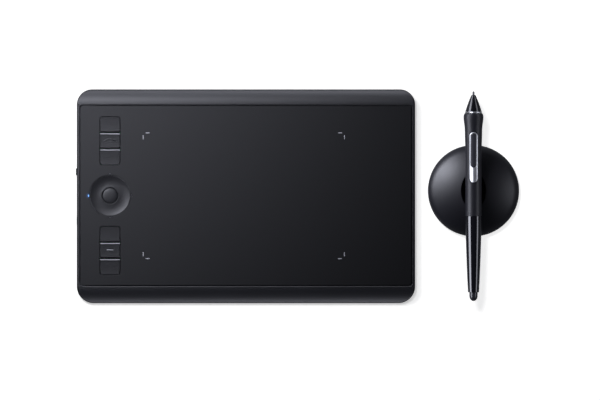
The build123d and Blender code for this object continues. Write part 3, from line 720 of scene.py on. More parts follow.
def all_finishes(colours):
    """Every finish by the record's slot name, made once and shared by the pieces."""
    lamp = middle("lit_window")
    lamp[2] = cad_box("drawing_sheet")[1][2]
    return {
        "casing": grained(
            "casing_satin", colours.casing, 0.43, 0.16, 0.003, 0.04, Specular_IOR_Level=0.38
        ),
        "sheet": sheet_film("sheet_film", colours.sheet, colours.lamp, lamp),
        "marking": grained("mark_print", colours.marking, 0.6, 0.2, 0.004),
        "back_metal": blasted("back_anodised", colours.back),
        "foot_rubber": soft_rubber("foot_rubber", (0.022, 0.022, 0.023), 0.75),
        "screw_steel": brushed("screw_black_oxide", (0.16, 0.16, 0.17), 0.34),
        # The last colour is the painted highlight on the keys' lips and bar mark.
        "key_plastic": key_finish("key_satin", colours.key, (0.21, 0.212, 0.225)),
        "ring_plastic": grained(
            "ring_semi_gloss", colours.key, 0.42, 0.25, 0.003, Specular_IOR_Level=0.36
        ),
        "button_plastic": grained(
            "button_semi_gloss", colours.key, 0.42, 0.25, 0.003, Specular_IOR_Level=0.36
        ),
        "lit_lens": lit_lens("lamp_lit", colours.lamp),
        "dark_lens": polished("lamp_dark", (0.02, 0.02, 0.024), 0.2),
        "clear_film": polished("touch_film", (0.28, 0.31, 0.35), 0.2),
        "board_green": circuit("board_mask", (0.012, 0.09, 0.045)),
        "shield_steel": brushed("shield_sheet", (0.5, 0.5, 0.51), 0.35),
        "chip_black": grained("chip_epoxy", (0.016, 0.016, 0.017), 0.55, 0.12, 0.01),
        "battery_wrap": brushed("battery_pouch", (0.42, 0.43, 0.45), 0.4, "y", 0.4),
        "lead_insulation": polished("lead_red", (0.42, 0.02, 0.015), 0.3),
        "connector_white": grained("connector_nylon", (0.66, 0.64, 0.58), 0.45),
        "ribbon_film": brushed("ribbon_amber", (0.5, 0.27, 0.05), 0.3, "x", 0.5, 0.0),
        "switch_metal": brushed("switch_cover", (0.55, 0.55, 0.55), 0.32, "y"),
        "lamp_white": grained("lamp_package", (0.8, 0.8, 0.74), 0.4),
        "socket_steel": brushed("socket_drawn", (0.5, 0.5, 0.51), 0.26),
        "socket_black": grained("socket_moulding", (0.015, 0.015, 0.016), 0.4),
        "dome_gloss": grained("dome_satin", colours.dome, 0.47, 0.3, 0.002, 0.04),
        "base_plastic": grained("base_moulding", (0.024, 0.024, 0.026), 0.5, 0.4, 0.02),
        "weight_steel": brushed("weight_turned", (0.38, 0.38, 0.39), 0.3, "y", 0.2),
        "nib_plastic": nibs_plastic("nib_plastic", (0.04, 0.04, 0.044)),
        "cone_gloss": polished("cone_polish", colours.polish, 0.16),
        "bright_trim": polished("trim_plated", colours.silver, 0.34, Metallic=1.0),
        "grip_rubber": soft_rubber("grip_rubber", colours.rubber, 0.44, 0.0),
        "barrel_gloss": polished("barrel_polish", colours.polish, 0.07, Specular_IOR_Level=0.72),
        "rocker_gloss": polished("switch_satin", lighter(colours.polish, 3.0), 0.42),
        "core_plastic": grained("core_filled", (0.04, 0.04, 0.04), 0.55),
        "ferrite_grey": grained("ferrite_sinter", (0.06, 0.06, 0.065), 0.6, 0.3, 0.02),
        "coil_copper": wound_wire("coil_wire", (0.72, 0.32, 0.13)),
        "eraser_plastic": grained("eraser_satin", (0.012, 0.012, 0.015), 0.28, 0.3, 0.002),
    }


def finish_of(slot):
    """The finish of a slot, made on first use."""
    if not FINISHES:
        FINISHES.update(all_finishes(bpy.context.scene.tablet_colours))
    return FINISHES[slot]


FINISHES = {}
SLOT_OF = {part["node"]: part["material_slot"] for part in frame["record"]["subparts"]}
BODY_OF = {
    node: body for body, nodes in frame["record"]["behaviour"]["bodies"].items() for node in nodes
}


def stands_for(*nodes):
    """What add_piece needs so that a piece stands for CAD nodes: finish, body, slot, nodes."""
    slot = SLOT_OF[nodes[0]]
    return finish_of(slot), BODY_OF[nodes[0]], slot, nodes


def beside(node):
    """What add_piece needs for a piece that goes with a CAD node and replaces none."""
    slot = SLOT_OF[node]
    return finish_of(slot), BODY_OF[node], slot


# ---------------------------------------------------------------------------
# Tablet
# ---------------------------------------------------------------------------

SHEET_GAP = 0.25
SHEET_INSET = 0.45
KEY_FLANGE = 0.95
KEY_GAP = 0.5
KEY_CORNER = 2.1
KEY_TRIM = 0.95
BUTTON_FLANGE = 1.0
RING_GAP = 0.25
RING_LEDGE = 1.5
LAMP_HALF = (0.4, 0.75)
LAMP_CORNER = 0.2
LAMP_GAP = 0.05
SEAT_CORNER = 9
RECESS_CORNER = 2.4
CAVITY_HALF = (130.2, 72.0)
CAVITY_CORNER = 8
SLIDER_TRAVEL = 2.5
FOOT_HALF = (17.0, 4.0)
SCREW_RADIUS = 1.9


def ring_centre():
    """The touch ring's middle, in plan."""
    return middle("touch_ring")[:2]


def ring_radius():
    """The touch ring's outer radius."""
    low, high = cad_box("touch_ring")
    return (high[0] - low[0]) / 2


def key_groups():
    """The two key openings, as their middle and their half-sizes in plan."""
    groups = []
    for first, last in (("express_key_1", "express_key_3"), ("express_key_4", "express_key_6")):
        high, low = cad_box(first)[1], cad_box(last)[0]
        half_x = (high[0] - low[0]) / 2 - KEY_FLANGE + KEY_GAP
        half_y = (high[1] - low[1]) / 2 + KEY_GAP
        groups.append(((high + low)[:2] / 2, (half_x, half_y)))
    return groups


def lamp_places():
    """Middles of the four lamp windows, the lit one first, and whether each lies across."""
    x, y = ring_centre()
    reach = x - middle("lit_window")[0]
    ways = ((-1, 0), (0, 1), (1, 0), (0, -1))
    return [(x + a * reach, y + b * reach, b != 0) for a, b in ways]


def circle(radius, centre=(0.0, 0.0), steps=96):
    """A circle as a ring of points."""
    turn = np.linspace(0, 2 * pi, steps, endpoint=False)
    return np.stack([centre[0] + radius * np.cos(turn), centre[1] + radius * np.sin(turn)], -1)


def control_openings(ring_opening, shorter=0.0):
    """Outlines of the openings for the keys, the ring and the lamps."""
    loops = [
        rounded_ring(half_x, half_y - shorter, (KEY_CORNER + KEY_GAP - shorter,) * 2) + centre
        for centre, (half_x, half_y) in key_groups()
    ]
    loops.append(circle(ring_opening, ring_centre(), 160))
    for x, y, across in lamp_places():
        half = np.array(LAMP_HALF[::-1] if across else LAMP_HALF) + LAMP_GAP
        loops.append(rounded_ring(*half, (LAMP_CORNER,) * 2, 0, 4, 2) + (x, y))
    return loops


def casing_rings(sizes):
    """The casing as rings, from the back plate's seat out, up, over the bands and into the recess.

    The top is level between two bands, and each band falls as a circular arc of its distance past
    its start. The underside rises in a straight slope near the front and rear edges. A quarter
    round joins each of them to the upright edge, and its radius grows with how much the edge
    faces sideways.
    """
    low, high = cad_box("front_housing")
    centre = (low + high)[:2] / 2
    half = (high - low)[:2] / 2
    top, bottom = high[2], low[2]
    bands = (sizes.rear_band, sizes.front_band)

    def plan(half, radii, grow=0.0, inset=0.0):
        return rounded_ring(*np.add(half, grow), np.add(radii, grow), inset, 26, 14)

    outline = plan(half, bands)
    inner = plan(half, bands, inset=1.0)
    normal = (outline - inner) / np.linalg.norm(outline - inner, axis=1, keepdims=True)
    sideways = normal[:, 0] ** 2
    top_round = sizes.end_round + (sizes.side_round - sizes.end_round) * sideways
    foot_round = top_round * 0.8
    slope = (top - sizes.band_drop - sizes.edge_wall - bottom) / sizes.undercut

    def upper(ring):
        y = ring[:, 1]
        band = np.where(y > 0, *bands)
        arc = (band**2 + sizes.band_drop**2) / (2 * sizes.band_drop)
        past = np.maximum(np.abs(y) - (half[1] - band), 0)
        return top - arc + np.sqrt(arc**2 - past**2)

    def under(ring):
        return bottom + slope * np.maximum(np.abs(ring[:, 1]) - (half[1] - sizes.undercut), 0)

    plate_low, plate_high = cad_box("back_plate")
    seat_half = (plate_high - plate_low)[:2] / 2 + 0.15
    seat, seat_rim = (plan(seat_half, (SEAT_CORNER,) * 2, grow) for grow in (0, 0.15))
    sheet_low, sheet_high = cad_box("drawing_sheet")
    recess_half = (sheet_high - sheet_low)[:2] / 2 + SHEET_GAP
    recess_shift = (sheet_high + sheet_low)[:2] / 2 - centre
    recess, recess_turn, recess_rim = (
        plan(recess_half, (RECESS_CORNER,) * 2, grow) + recess_shift for grow in (0, 0.15, 0.45)
    )
    cavity = plan(CAVITY_HALF, (CAVITY_CORNER,) * 2)
    rings = [at_height(seat, plate_high[2], centre), at_height(seat, bottom + 0.15, centre)]
    edge_start = outline - normal * foot_round[:, None]
    for blend in np.linspace(0, 1, 12)[:-1]:
        ring = seat_rim * (1 - blend) + edge_start * blend
        rings.append(at_height(ring, under(ring), centre))
    for turn in np.linspace(pi / 2, 0, 8):
        ring = outline - normal * (foot_round * (1 - cos(turn)))[:, None]
        rings.append(at_height(ring, under(ring) + foot_round * (1 - sin(turn)), centre))
    for turn in np.linspace(0, pi / 2, 9):
        ring = outline - normal * (top_round * (1 - cos(turn)))[:, None]
        rings.append(at_height(ring, upper(ring) - top_round * (1 - sin(turn)), centre))
    edge_end = outline - normal * top_round[:, None]
    for blend in np.linspace(0, 1, 34)[1:]:
        ring = edge_end * (1 - blend) + recess_rim * blend
        rings.append(at_height(ring, upper(ring), centre))
    floor = sheet_low[2] - 1.0
    rings += [
        at_height(recess_turn, top - 0.12, centre),
        at_height(recess, top - 0.34, centre),
        at_height(recess, floor, centre),
        at_height(cavity, floor, centre),
        at_height(cavity, plate_high[2], centre),
    ]
    return rings


def edge_rings(x, y, z, length, width, run):
    """Upright stadium outlines long in y, one for each (depth in x, growth) of the run."""
    rings = []
    for depth, grow in run:
        ring = capsule_ring(length + 2 * grow, width + 2 * grow)
        rings.append(np.column_stack([0 * ring[:, 0] + x + depth, y + ring[:, 0], z + ring[:, 1]]))
    return rings


def slot_cutter(name, *place_and_size):
    """A capsule-shaped cutter through the left edge, flared where it meets the outside."""
    flare = ((-1.0, 0.35), (-0.02, 0.35), (0.28, 0.0), (6.0, 0.0))
    rings = edge_rings(*place_and_size, flare)
    first, last = (np.broadcast_to(ring.mean(axis=0), ring.shape) for ring in rings[::3])
    return linked(name, rings_mesh(name, [first, *rings, last]))


def cut_away(mesh, cutters):
    """The mesh with each cutter's space taken out of it."""
    holder = linked(mesh.name, mesh)
    for cutter in cutters:
        modifier = holder.modifiers.new(cutter.name, "BOOLEAN")
        modifier.operation = "DIFFERENCE"
        modifier.solver = "EXACT"
        modifier.object = cutter
    result = finished_mesh(holder)
    result.name = mesh.name
    for spent in [holder, *cutters]:
        bpy.data.objects.remove(spent)
    return shaded(result, 35)


class TABLET_OT_casing(bpy.types.Operator):
    """Make the casing with its rolled bands, and the skin under the sheet"""

    bl_idname = "tablet.casing"
    bl_label = "Casing"

    def execute(self, context):
        sizes = sizes_of(context.scene.tablet_sizes)
        mesh = rings_mesh("casing_frame", casing_rings(sizes), closed=True)
        left = cad_box("front_housing")[0][0]
        port, power, slider = (middle(n) for n in ("usb_shell", "power_button", "touch_slider"))
        slider[1] -= SLIDER_TRAVEL / 2
        cutters = [
            slot_cutter("cut_port", left, *port[1:], 9.24, 3.56),
            slot_cutter("cut_power", left, *power[1:], 7.4, 2.6),
            slot_cutter("cut_slider", left, *slider[1:], 6.1 + SLIDER_TRAVEL, 2.4),
        ]
        add_piece(cut_away(mesh, cutters), *stands_for("front_housing"))
        sheet_low, sheet_high = cad_box("drawing_sheet")
        outer = rounded_ring(*((sheet_high - sheet_low)[:2] / 2 - 1.0), (2, 2))
        outer = outer + (sheet_low + sheet_high)[:2] / 2
        skin_low = cad_box("touch_panel")[1][2]
        wide = control_openings(ring_radius() + RING_GAP + 0.3)
        narrow = control_openings(ring_radius() - RING_LEDGE + RING_GAP, 0.3)
        ledge = skin_low + 0.4
        upper = plate_mesh("casing_skin", [outer, *wide], ledge, sheet_low[2] - 0.01, 0.02)
        lower = plate_mesh("casing_ledge", [outer, *narrow], skin_low, ledge, 0.02)
        for mesh in (upper, lower):
            add_piece(mesh, *beside("front_housing"))
        return {"FINISHED"}


class TABLET_OT_sheet(bpy.types.Operator):
    """Make the drawing sheet and the printed corner marks"""

    bl_idname = "tablet.sheet"
    bl_label = "Drawing sheet"

    def execute(self, context):
        low, high = cad_box("drawing_sheet")
        outer = rounded_ring(*((high - low)[:2] / 2 - SHEET_INSET), (2.1, 2.1), 0, 12, 4)
        outer = outer + (low + high)[:2] / 2
        loops = [outer, *control_openings(ring_radius() + RING_GAP + 0.3)]
        mesh = plate_mesh("sheet", loops, low[2], high[2], 0.09)
        add_piece(mesh, *stands_for("drawing_sheet"))
        mark_low, mark_high = cad_box("corner_marks")
        centre = (mark_low + mark_high) / 2
        reach = (mark_high - mark_low)[:2] / 2 - 0.4
        half, offset = (1.6, 0.33), 3.5
        flat, across = [], []
        for side_x in (-1, 1):
            for side_y in (-1, 1):
                x = centre[0] + side_x * reach[0]
                y = centre[1] + side_y * reach[1]
                flat.append(moved(x - side_x * offset, y))
                across.append(quarter_turned(x, y - side_y * offset))
        how = stands_for("corner_marks")
        span = (high[2] + 0.025, high[2] - 0.08)
        caps_piece("corner_strokes", how, flat + across, half, (0.12, 0.12), *span, 0.02, (24, 12))
        return {"FINISHED"}


def key_top(sizes, half_y, step, lip, mark, sheet_top):
    """A key's height: a hollow that is a parabola of y, a sloping rear lip, and a raised mark.

    A step of the given length along the front edge stands lower, and shows as a dark line.
    """
    low = sheet_top - 0.1
    front = step - half_y
    lip_start = half_y - sizes.lip_width
    dish_rear = lip_start - 0.35 if lip else half_y
    dish_middle = (dish_rear + front) / 2
    dish_half = (dish_rear - front) / 2

    def height(x, y):
        along = np.clip((y - dish_middle) / dish_half, -1, 1)
        z = low - sizes.key_dish * (1 - along**2)
        # The lip's crest stands above the sheet, so the key finish paints it with the lighter
        # highlight colour.
        if lip:
            fall = 0.42 * np.maximum(y - lip_start, 0) / sizes.lip_width
            crest = sheet_top + sizes.lip_height - fall
            z = z + (crest - z) * smooth_step(lip_start - 0.35, lip_start + 0.05, y)
        z = z - 1.1 * smooth_step(front, front - 0.1, y) * (step > 0)
        y = y - step / 2
        if mark == "bow":
            around = np.clip(np.arctan2(x, y + 6.0), -radians(36), radians(36))
            away = np.hypot(x - 7.0 * np.sin(around), y + 6.0 - 7.0 * np.cos(around))
            z = z + 0.24 * smooth_step(0.55, 0.15, away)
        # The bar stands high enough above the sheet to take the key finish's painted highlight.
        if mark == "bar":
            away = np.hypot(np.maximum(np.abs(x) - 2.45, 0), y)
            z = z + 0.42 * smooth_step(0.5, 0.15, away)
        return z

    return height


class TABLET_OT_keys(bpy.types.Operator):
    """Make the six express keys"""

    bl_idname = "tablet.keys"
    bl_label = "Express keys"

    def execute(self, context):
        sizes = sizes_of(context.scene.tablet_sizes)
        sheet_top = cad_box("drawing_sheet")[1][2]
        marks = {1: "bow", 4: "bar"}
        for index in range(6):
            node = f"express_key_{index + 1}"
            low, high = cad_box(node)
            centre = (low + high) / 2
            place = index % 3
            step = KEY_TRIM if place < 2 else 0.0
            half = ((high[0] - low[0]) / 2 - KEY_FLANGE - 0.1, (high[1] - low[1] - 0.1) / 2)
            centre[1] = high[1] - half[1]
            radii = (KEY_CORNER if place == 0 else 0.25, KEY_CORNER if place == 2 else 0.25)
            top = key_top(sizes, half[1], step, place > 0, marks.get(index), sheet_top)
            name, spot = f"key_cap_{index + 1}", [moved(*centre[:2])]
            caps_piece(name, stands_for(node), spot, half, radii, top, low[2], 0.16, (72, 150))
            name, spot = f"key_foot_{index + 1}", [moved(*middle(node)[:2])]
            half = (high - low)[:2] / 2 - (0, 1)
            span = (cad_box("touch_panel")[1][2] - 0.15, low[2])
            caps_piece(name, beside(node), spot, half, (0.3, 0.3), *span, 0.05, (8, 8))
        return {"FINISHED"}


class TABLET_OT_touch_ring(bpy.types.Operator):
    """Make the touch ring, its button and the lamp windows"""

    bl_idname = "tablet.touch_ring"
    bl_label = "Touch ring"

    def execute(self, context):
        sizes = sizes_of(context.scene.tablet_sizes)
        low, high = cad_box("touch_ring")
        centre = ring_centre()
        outer = ring_radius() - 0.2
        button_low, button_high = cad_box("ring_button")
        button = (button_high[0] - button_low[0]) / 2 - BUTTON_FLANGE
        inner = button + 0.5
        rim, floor = high[2], high[2] - sizes.ring_valley
        start = inner + 0.7
        out = np.linspace(start, outer - 0.12, 48)
        valley = start + 0.3 * (outer - start)
        bowl = np.stack([out, floor + (rim - floor) * ((out - valley) / (outer - valley)) ** 2], -1)
        lip = [(outer - 0.03, rim - 0.03), (outer, rim - 0.1), (outer, low[2] + 0.9)]
        foot = [(outer - RING_LEDGE, z) for z in (low[2] + 0.9, low[2])] + [(inner, low[2])]
        lead = filleted([(inner, low[2]), (inner, bowl[0, 1]), bowl[0]], (0, 0.3, 0), 6)
        profile = np.vstack([bowl, lip, foot, lead[1:-1]])
        rings = turned(profile, 192, upright(centre))
        rings_piece("ring", rings, stands_for("touch_ring"), closed=True)
        top = button_high[2]
        dome = [(r, top - 0.4 * (r / button) ** 2.5) for r in np.linspace(0, button - 0.75, 24)]
        flange = low[2] - 0.1
        edge = filleted([dome[-1], (button, top - 0.46), (button, flange)], (0, 0.6, 0), 10)
        foot = [(button + BUTTON_FLANGE, z) for z in (flange, button_low[2])]
        profile = np.vstack([dome, edge[1:], foot, [(0, button_low[2])]])
        rings_piece("ring_key", turned(profile, 128, upright(centre)), stands_for("ring_button"))
        window_low, window_high = cad_box("lit_window")
        places = [
            quarter_turned(x, y) if across else moved(x, y) for x, y, across in lamp_places()
        ]
        for name, node, group in (
            ("lit_lens", "lit_window", places[:1]),
            ("dark_lenses", "dark_windows", places[1:]),
        ):
            span = (window_high[2], window_low[2])
            radii = (LAMP_CORNER,) * 2
            caps_piece(name, stands_for(node), group, LAMP_HALF, radii, *span, 0.06, (16, 24))
        return {"FINISHED"}


class TABLET_OT_edge_controls(bpy.types.Operator):
    """Make the power button, the touch slider and the socket in the left edge"""

    bl_idname = "tablet.edge_controls"
    bl_label = "Edge controls"

    def execute(self, context):
        left = cad_box("front_housing")[0][0]
        for name, node, length, width, ribs in (
            ("power_cap", "power_button", 7.0, 2.2, 0),
            ("slider_knob", "touch_slider", 5.5, 2.0, 5),
        ):
            low, high = cad_box(node)
            y, z = middle(node)[1:]
            proud = left - low[0]

            def top(u, v, proud=proud, ribs=ribs):
                rib = np.cos(u * pi / 0.45) * smooth_step(2.0, 1.6, np.abs(u)) if ribs else 0 * u
                return proud - 0.03 * (u / 3.0) ** 2 + 0.07 * (rib - 1) * (ribs > 0)

            place, half = [out_of_edge(left, y, z)], (length / 2, width / 2)
            span, radii = (top, left - high[0]), (half[1] - 0.01,) * 2
            caps_piece(name, stands_for(node), place, half, radii, *span, 0.22, (110, 36))
        low, high = cad_box("usb_shell")
        y, z = middle("usb_shell")[1:]
        length, width = (high - low)[1:]
        wall, deep = 0.3, high[0] - low[0]
        run = ((0.12, 0), (deep, 0), (deep, -wall), (0.15, -wall), (0, 0.12 - wall), (0, -0.1))
        rings = edge_rings(low[0], y, z, length, width, run)
        rings_piece("socket_sleeve", rings, stands_for("usb_shell"), closed=True)

        def contact(side, across):
            origin = np.array([low[0] + 1.3, y + across, z])
            return lambda points: points[:, [1, 0, 2]] * [1, 1, side] + origin

        contacts = [contact(side, (i - 5.5) * 0.5) for side in (1, -1) for i in range(12)]
        gold = brushed("contact_gold", (0.78, 0.55, 0.2), 0.25, "x", 0.1)
        how = (gold, BODY_OF["usb_shell"], "socket_steel")
        half, radii, span = (0.13, 0.9), (0.1, 0.1), (0.375, 0.3)
        caps_piece("socket_contacts", how, contacts, half, radii, *span, 0.02, (6, 8))
        return {"FINISHED"}


class TABLET_OT_underside(bpy.types.Operator):
    """Make the back plate, its screws and the rubber feet"""

    bl_idname = "tablet.underside"
    bl_label = "Underside"

    def execute(self, context):
        low, high = cad_box("back_plate")
        centre = (low + high)[:2] / 2
        outer = rounded_ring(*((high - low)[:2] / 2), (8.85, 8.85), 0, 16, 4) + centre
        foot_low, foot_high = cad_box("rubber_feet")
        foot_centre = (foot_low + foot_high)[:2] / 2
        foot_reach = (foot_high - foot_low)[:2] / 2 - FOOT_HALF
        feet = [foot_centre + foot_reach * (a, b) for a in (-1, 1) for b in (-1, 1)]
        screw_low, screw_high = cad_box("back_screws")
        screw_centre = (screw_low + screw_high)[:2] / 2
        screw_reach = (screw_high - screw_low)[:2] / 2 - SCREW_RADIUS
        screws = [
            screw_centre + (a * screw_reach[0], b * screw_reach[1])
            for a in (-1, -42 / 124, 42 / 124, 1)
            for b in (-1, 1)
        ]
        loops = [outer]
        loops += [circle(SCREW_RADIUS + 0.15, spot, 40) for spot in screws]
        loops += [capsule_ring(34.2, 8.2) + spot for spot in feet]
        mesh = plate_mesh("back_cover", loops, low[2], high[2], 0.12)
        add_piece(mesh, *stands_for("back_plate"))
        floor = plate_mesh("foot_pockets", [outer * 0.998], high[2] - 0.2, high[2], 0.02)
        add_piece(floor, *beside("back_plate"))

        def tread(u, v):
            groove = 0.5 - 0.5 * np.cos(u * 2 * pi / 1.7)
            inside = smooth_step(4.0, 3.1, np.hypot(np.maximum(np.abs(u) - 13.0, 0), v))
            return foot_high[2] - 0.16 * groove**3 * inside

        how, radii = stands_for("rubber_feet"), (FOOT_HALF[1] - 0.01,) * 2
        places = [turned_over(*spot, foot_high[2]) for spot in feet]
        caps_piece("foot_pads", how, places, FOOT_HALF, radii, tread, 0, 0.35, (220, 40))

        def cross_recess(u, v):
            arm = np.minimum(
                np.maximum(np.abs(u) - 0.26, np.abs(v) - 1.05),
                np.maximum(np.abs(v) - 0.26, np.abs(u) - 1.05),
            )
            return 0.75 - 0.5 * smooth_step(0.10, -0.08, arm)

        how, half = stands_for("back_screws"), (SCREW_RADIUS,) * 2
        radii = (SCREW_RADIUS - 0.01,) * 2
        places = [turned_over(*spot, low[2] + 0.8) for spot in screws]
        caps_piece("screw_heads", how, places, half, radii, cross_recess, 0, 0.12, (56, 56))
        return {"FINISHED"}


# ---------------------------------------------------------------------------
# Pen stand
# ---------------------------------------------------------------------------


DOME_JOIN = 28.0


def dome_run(sizes, radius, inset, steps=(10, 18)):
    """The dome's outer run from DOME_JOIN over the rim to its widest point, taken in by inset.

    It is an arc of the crown's radius, then an arc of the shoulder's that it meets in a common
    tangent.
    """
    span = sizes.crown_radius
    shoulder_x = radius - sizes.shoulder_radius
    reach = span - sizes.shoulder_radius
    rise = np.sqrt(reach**2 - shoulder_x**2)
    shoulder_z = sizes.crown - span + rise
    lean = np.arcsin(shoulder_x / reach)
    start = np.arcsin((DOME_JOIN - inset) / (span - inset))
    crown = np.linspace(start, lean, steps[0])
    on_crown = np.stack([np.sin(crown), np.cos(crown)], -1) * (span - inset)
    on_crown = on_crown + (0, sizes.crown - span)
    curl = np.linspace(lean, pi / 2, steps[1])[1:]
    on_rim = np.stack([np.sin(curl), np.cos(curl)], -1) * (sizes.shoulder_radius - inset)
    on_rim = on_rim + (shoulder_x, shoulder_z)
    return np.vstack([on_crown, on_rim])


def dome_height(sizes, x, y):
    """The dome's height over its middle: a sphere's cap, with the pen's groove cut across it."""
    span = sizes.crown_radius
    cap = sizes.crown - span + np.sqrt(span**2 - x**2 - y**2)
    inside = np.maximum(sizes.groove_radius**2 - x**2, 0)
    steep = np.maximum(np.abs(x) - sizes.groove_radius, 0) * 8
    groove = sizes.crown - sizes.groove_depth + sizes.groove_radius - np.sqrt(inside) + steep
    return smooth_min(cap, groove, sizes.rim_round)


class TABLET_OT_stand_dome(bpy.types.Operator):
    """Make the stand's dome with its groove and well, as one closed surface"""

    bl_idname = "tablet.stand_dome"
    bl_label = "Stand dome"

    def execute(self, context):
        sizes = sizes_of(context.scene.stand_sizes)
        low, high = cad_box("stand_dome")
        centre = ((low + high) / 2)[:2]
        radius = (high[0] - low[0]) / 2
        turn = np.linspace(0, 2 * pi, 360, endpoint=False)
        across, along = np.cos(turn), np.sin(turn)
        grow = (sizes.well_x - sizes.well_foot, sizes.well_y - sizes.well_foot)
        tall = sizes.crown - sizes.well_floor
        rings = []

        def ring(x, y, z):
            rings.append(np.column_stack([centre[0] + x, centre[1] + y, z + 0 * x]))

        for part in (0.0, 0.5, 0.8, 0.93):
            out = part * sizes.well_foot
            ring(out * across, out * along, sizes.well_floor + 0.12 * max(part - 0.8, 0))
        depths = np.concatenate([np.linspace(0.03, 0.66, 12)[:-1], np.linspace(0.66, 1.3, 52)])
        for depth in depths:
            x = (sizes.well_foot + grow[0] * depth) * across
            y = (sizes.well_foot + grow[1] * depth) * along
            wall = sizes.well_floor + tall * depth
            ring(x, y, smooth_min(dome_height(sizes, x, y), 0 * x + wall, sizes.rim_round))
        mouth = rings[-1][:, :2] - centre
        for blend in np.linspace(0, 1, 40)[1:]:
            x = mouth[:, 0] * (1 - blend) + DOME_JOIN * across * blend
            y = mouth[:, 1] * (1 - blend) + DOME_JOIN * along * blend
            ring(x, y, dome_height(sizes, x, y))
        hem = [(sizes.hem_radius + 0.15, low[2] + 0.5), (sizes.hem_radius, low[2] + 0.12)]
        hem += [(sizes.hem_radius - 0.12, low[2]), (sizes.hem_radius - sizes.wall + 0.3, low[2])]
        inner = dome_run(sizes, radius, sizes.wall, (6, 10))
        inner = inner[inner[:, 1] < sizes.ceiling][::-1]
        for out, z in [*dome_run(sizes, radius, 0.0)[1:], *hem, *inner]:
            ring(out * across, out * along, z)
        edge = inner[-1][0]
        ring((edge - 0.8) * across, (edge - 0.8) * along, sizes.ceiling)
        skin = 1.5
        for depth in np.linspace((sizes.ceiling - 4.5) / tall, 0.0, 8):
            x = (sizes.well_foot + skin + grow[0] * depth) * across
            y = (sizes.well_foot + skin + grow[1] * depth) * along
            ring(x, y, min(sizes.well_floor + tall * depth, sizes.ceiling) - skin * (depth == 0))
        ring(0 * across, 0 * along, sizes.well_floor - skin)
        rings_piece("dome_shell", rings, stands_for("stand_dome"), sharp=48)
        return {"FINISHED"}


class TABLET_OT_stand_foot(bpy.types.Operator):
    """Make the stand's rubber foot pad"""

    bl_idname = "tablet.stand_foot"
    bl_label = "Stand foot"

    def execute(self, context):
        low, high = cad_box("stand_foot_pad")
        radius = (high[0] - low[0]) / 2
        out = np.linspace(0, radius - 1.2, 160)
        groove = 0.5 - 0.5 * np.cos(out * 2 * pi / 2.4)
        face = np.stack([out, low[2] + 0.3 * groove**6 * smooth_step(2.0, 4.0, out)], -1)
        rim = filleted([face[-1], (radius, low[2]), (radius, high[2])], (0, 0.35, 0), 6)
        profile = np.vstack([face, rim[1:], [(0, high[2])]])
        rings = turned(profile, 160, upright(((low + high) / 2)[:2]))
        rings_piece("foot_disc", rings, stands_for("stand_foot_pad"))
        return {"FINISHED"}


# ---------------------------------------------------------------------------
# Pen
# ---------------------------------------------------------------------------


GRIP_START = 17.3
GRIP_END = 99.1
GRIP_BORE = 5.35
BARREL_RUN = ((GRIP_END, 6.44), (126.5, 5.82), (150.4, 4.87), (159.8, 4.37))
NOSE_RUN = ((2.8, 1.5), (9.4, 4.35), (16.1, 6.5))


def pen_place(points):
    """Takes (along from the nib, across, up) to the pen's place."""
    low, high = cad_box("pen_trim_ring")
    axis = (low + high) / 2
    tip = cad_box("pen_nib")[1][1]
    along, across, up = np.moveaxis(np.asarray(points, float), -1, 0)
    return np.stack([axis[0] + across, tip - along, axis[2] + up], axis=-1)


def pen_piece(name, node, profile, steps=144, closed=True):
    """A piece turned about the pen's axis from (radius, along) points."""
    rings_piece(name, turned(profile, steps, pen_place), stands_for(node), closed)


def smooth_run(stations, where, slopes):
    """A cubic spline through (along, radius) stations, with its end slopes given."""
    at, out = np.array(stations, float).T
    step = np.diff(at)
    count = len(at)
    system = np.zeros((count, count))
    answer = np.zeros(count)
    system[0, 0] = system[-1, -1] = 1
    answer[0], answer[-1] = slopes
    inner = np.arange(1, count - 1)
    system[inner, inner - 1] = step[1:]
    system[inner, inner] = 2 * (step[:-1] + step[1:])
    system[inner, inner + 1] = step[:-1]
    rate = np.diff(out) / step
    answer[inner] = 3 * (step[1:] * rate[:-1] + step[:-1] * rate[1:])
    slope = np.linalg.solve(system, answer)
    piece = np.clip(np.searchsorted(at, where) - 1, 0, count - 2)
    t = (where - at[piece]) / step[piece]
    return (
        (2 * t**3 - 3 * t**2 + 1) * out[piece]
        + (t**3 - 2 * t**2 + t) * step[piece] * slope[piece]
        + (3 * t**2 - 2 * t**3) * out[piece + 1]
        + (t**3 - t**2) * step[piece] * slope[piece + 1]
    )


def grip_radius(sizes, along):
    """The grip's radius: a collar that flares by the nose, easing into an even waist."""
    stations = [
        (GRIP_START, 6.9),
        (20.5, sizes.flare),
        (27.0, 7.22),
        (35.0, 6.84),
        (46.6, 6.52),
        (sizes.waist, sizes.radius),
    ]
    swell = smooth_run(stations, np.clip(along, GRIP_START, sizes.waist), (0.8, 0.0))
    return np.where(along > sizes.waist, sizes.radius, swell)


def on_grip(sizes, along, across, lift):
    """Points over the grip's top: straight up from (along, across), lift above its surface."""
    radius = grip_radius(sizes, along)
    up = np.sqrt(np.maximum(radius**2 - across**2, 0)) + lift
    return pen_place(np.stack([along, across, up], axis=-1))


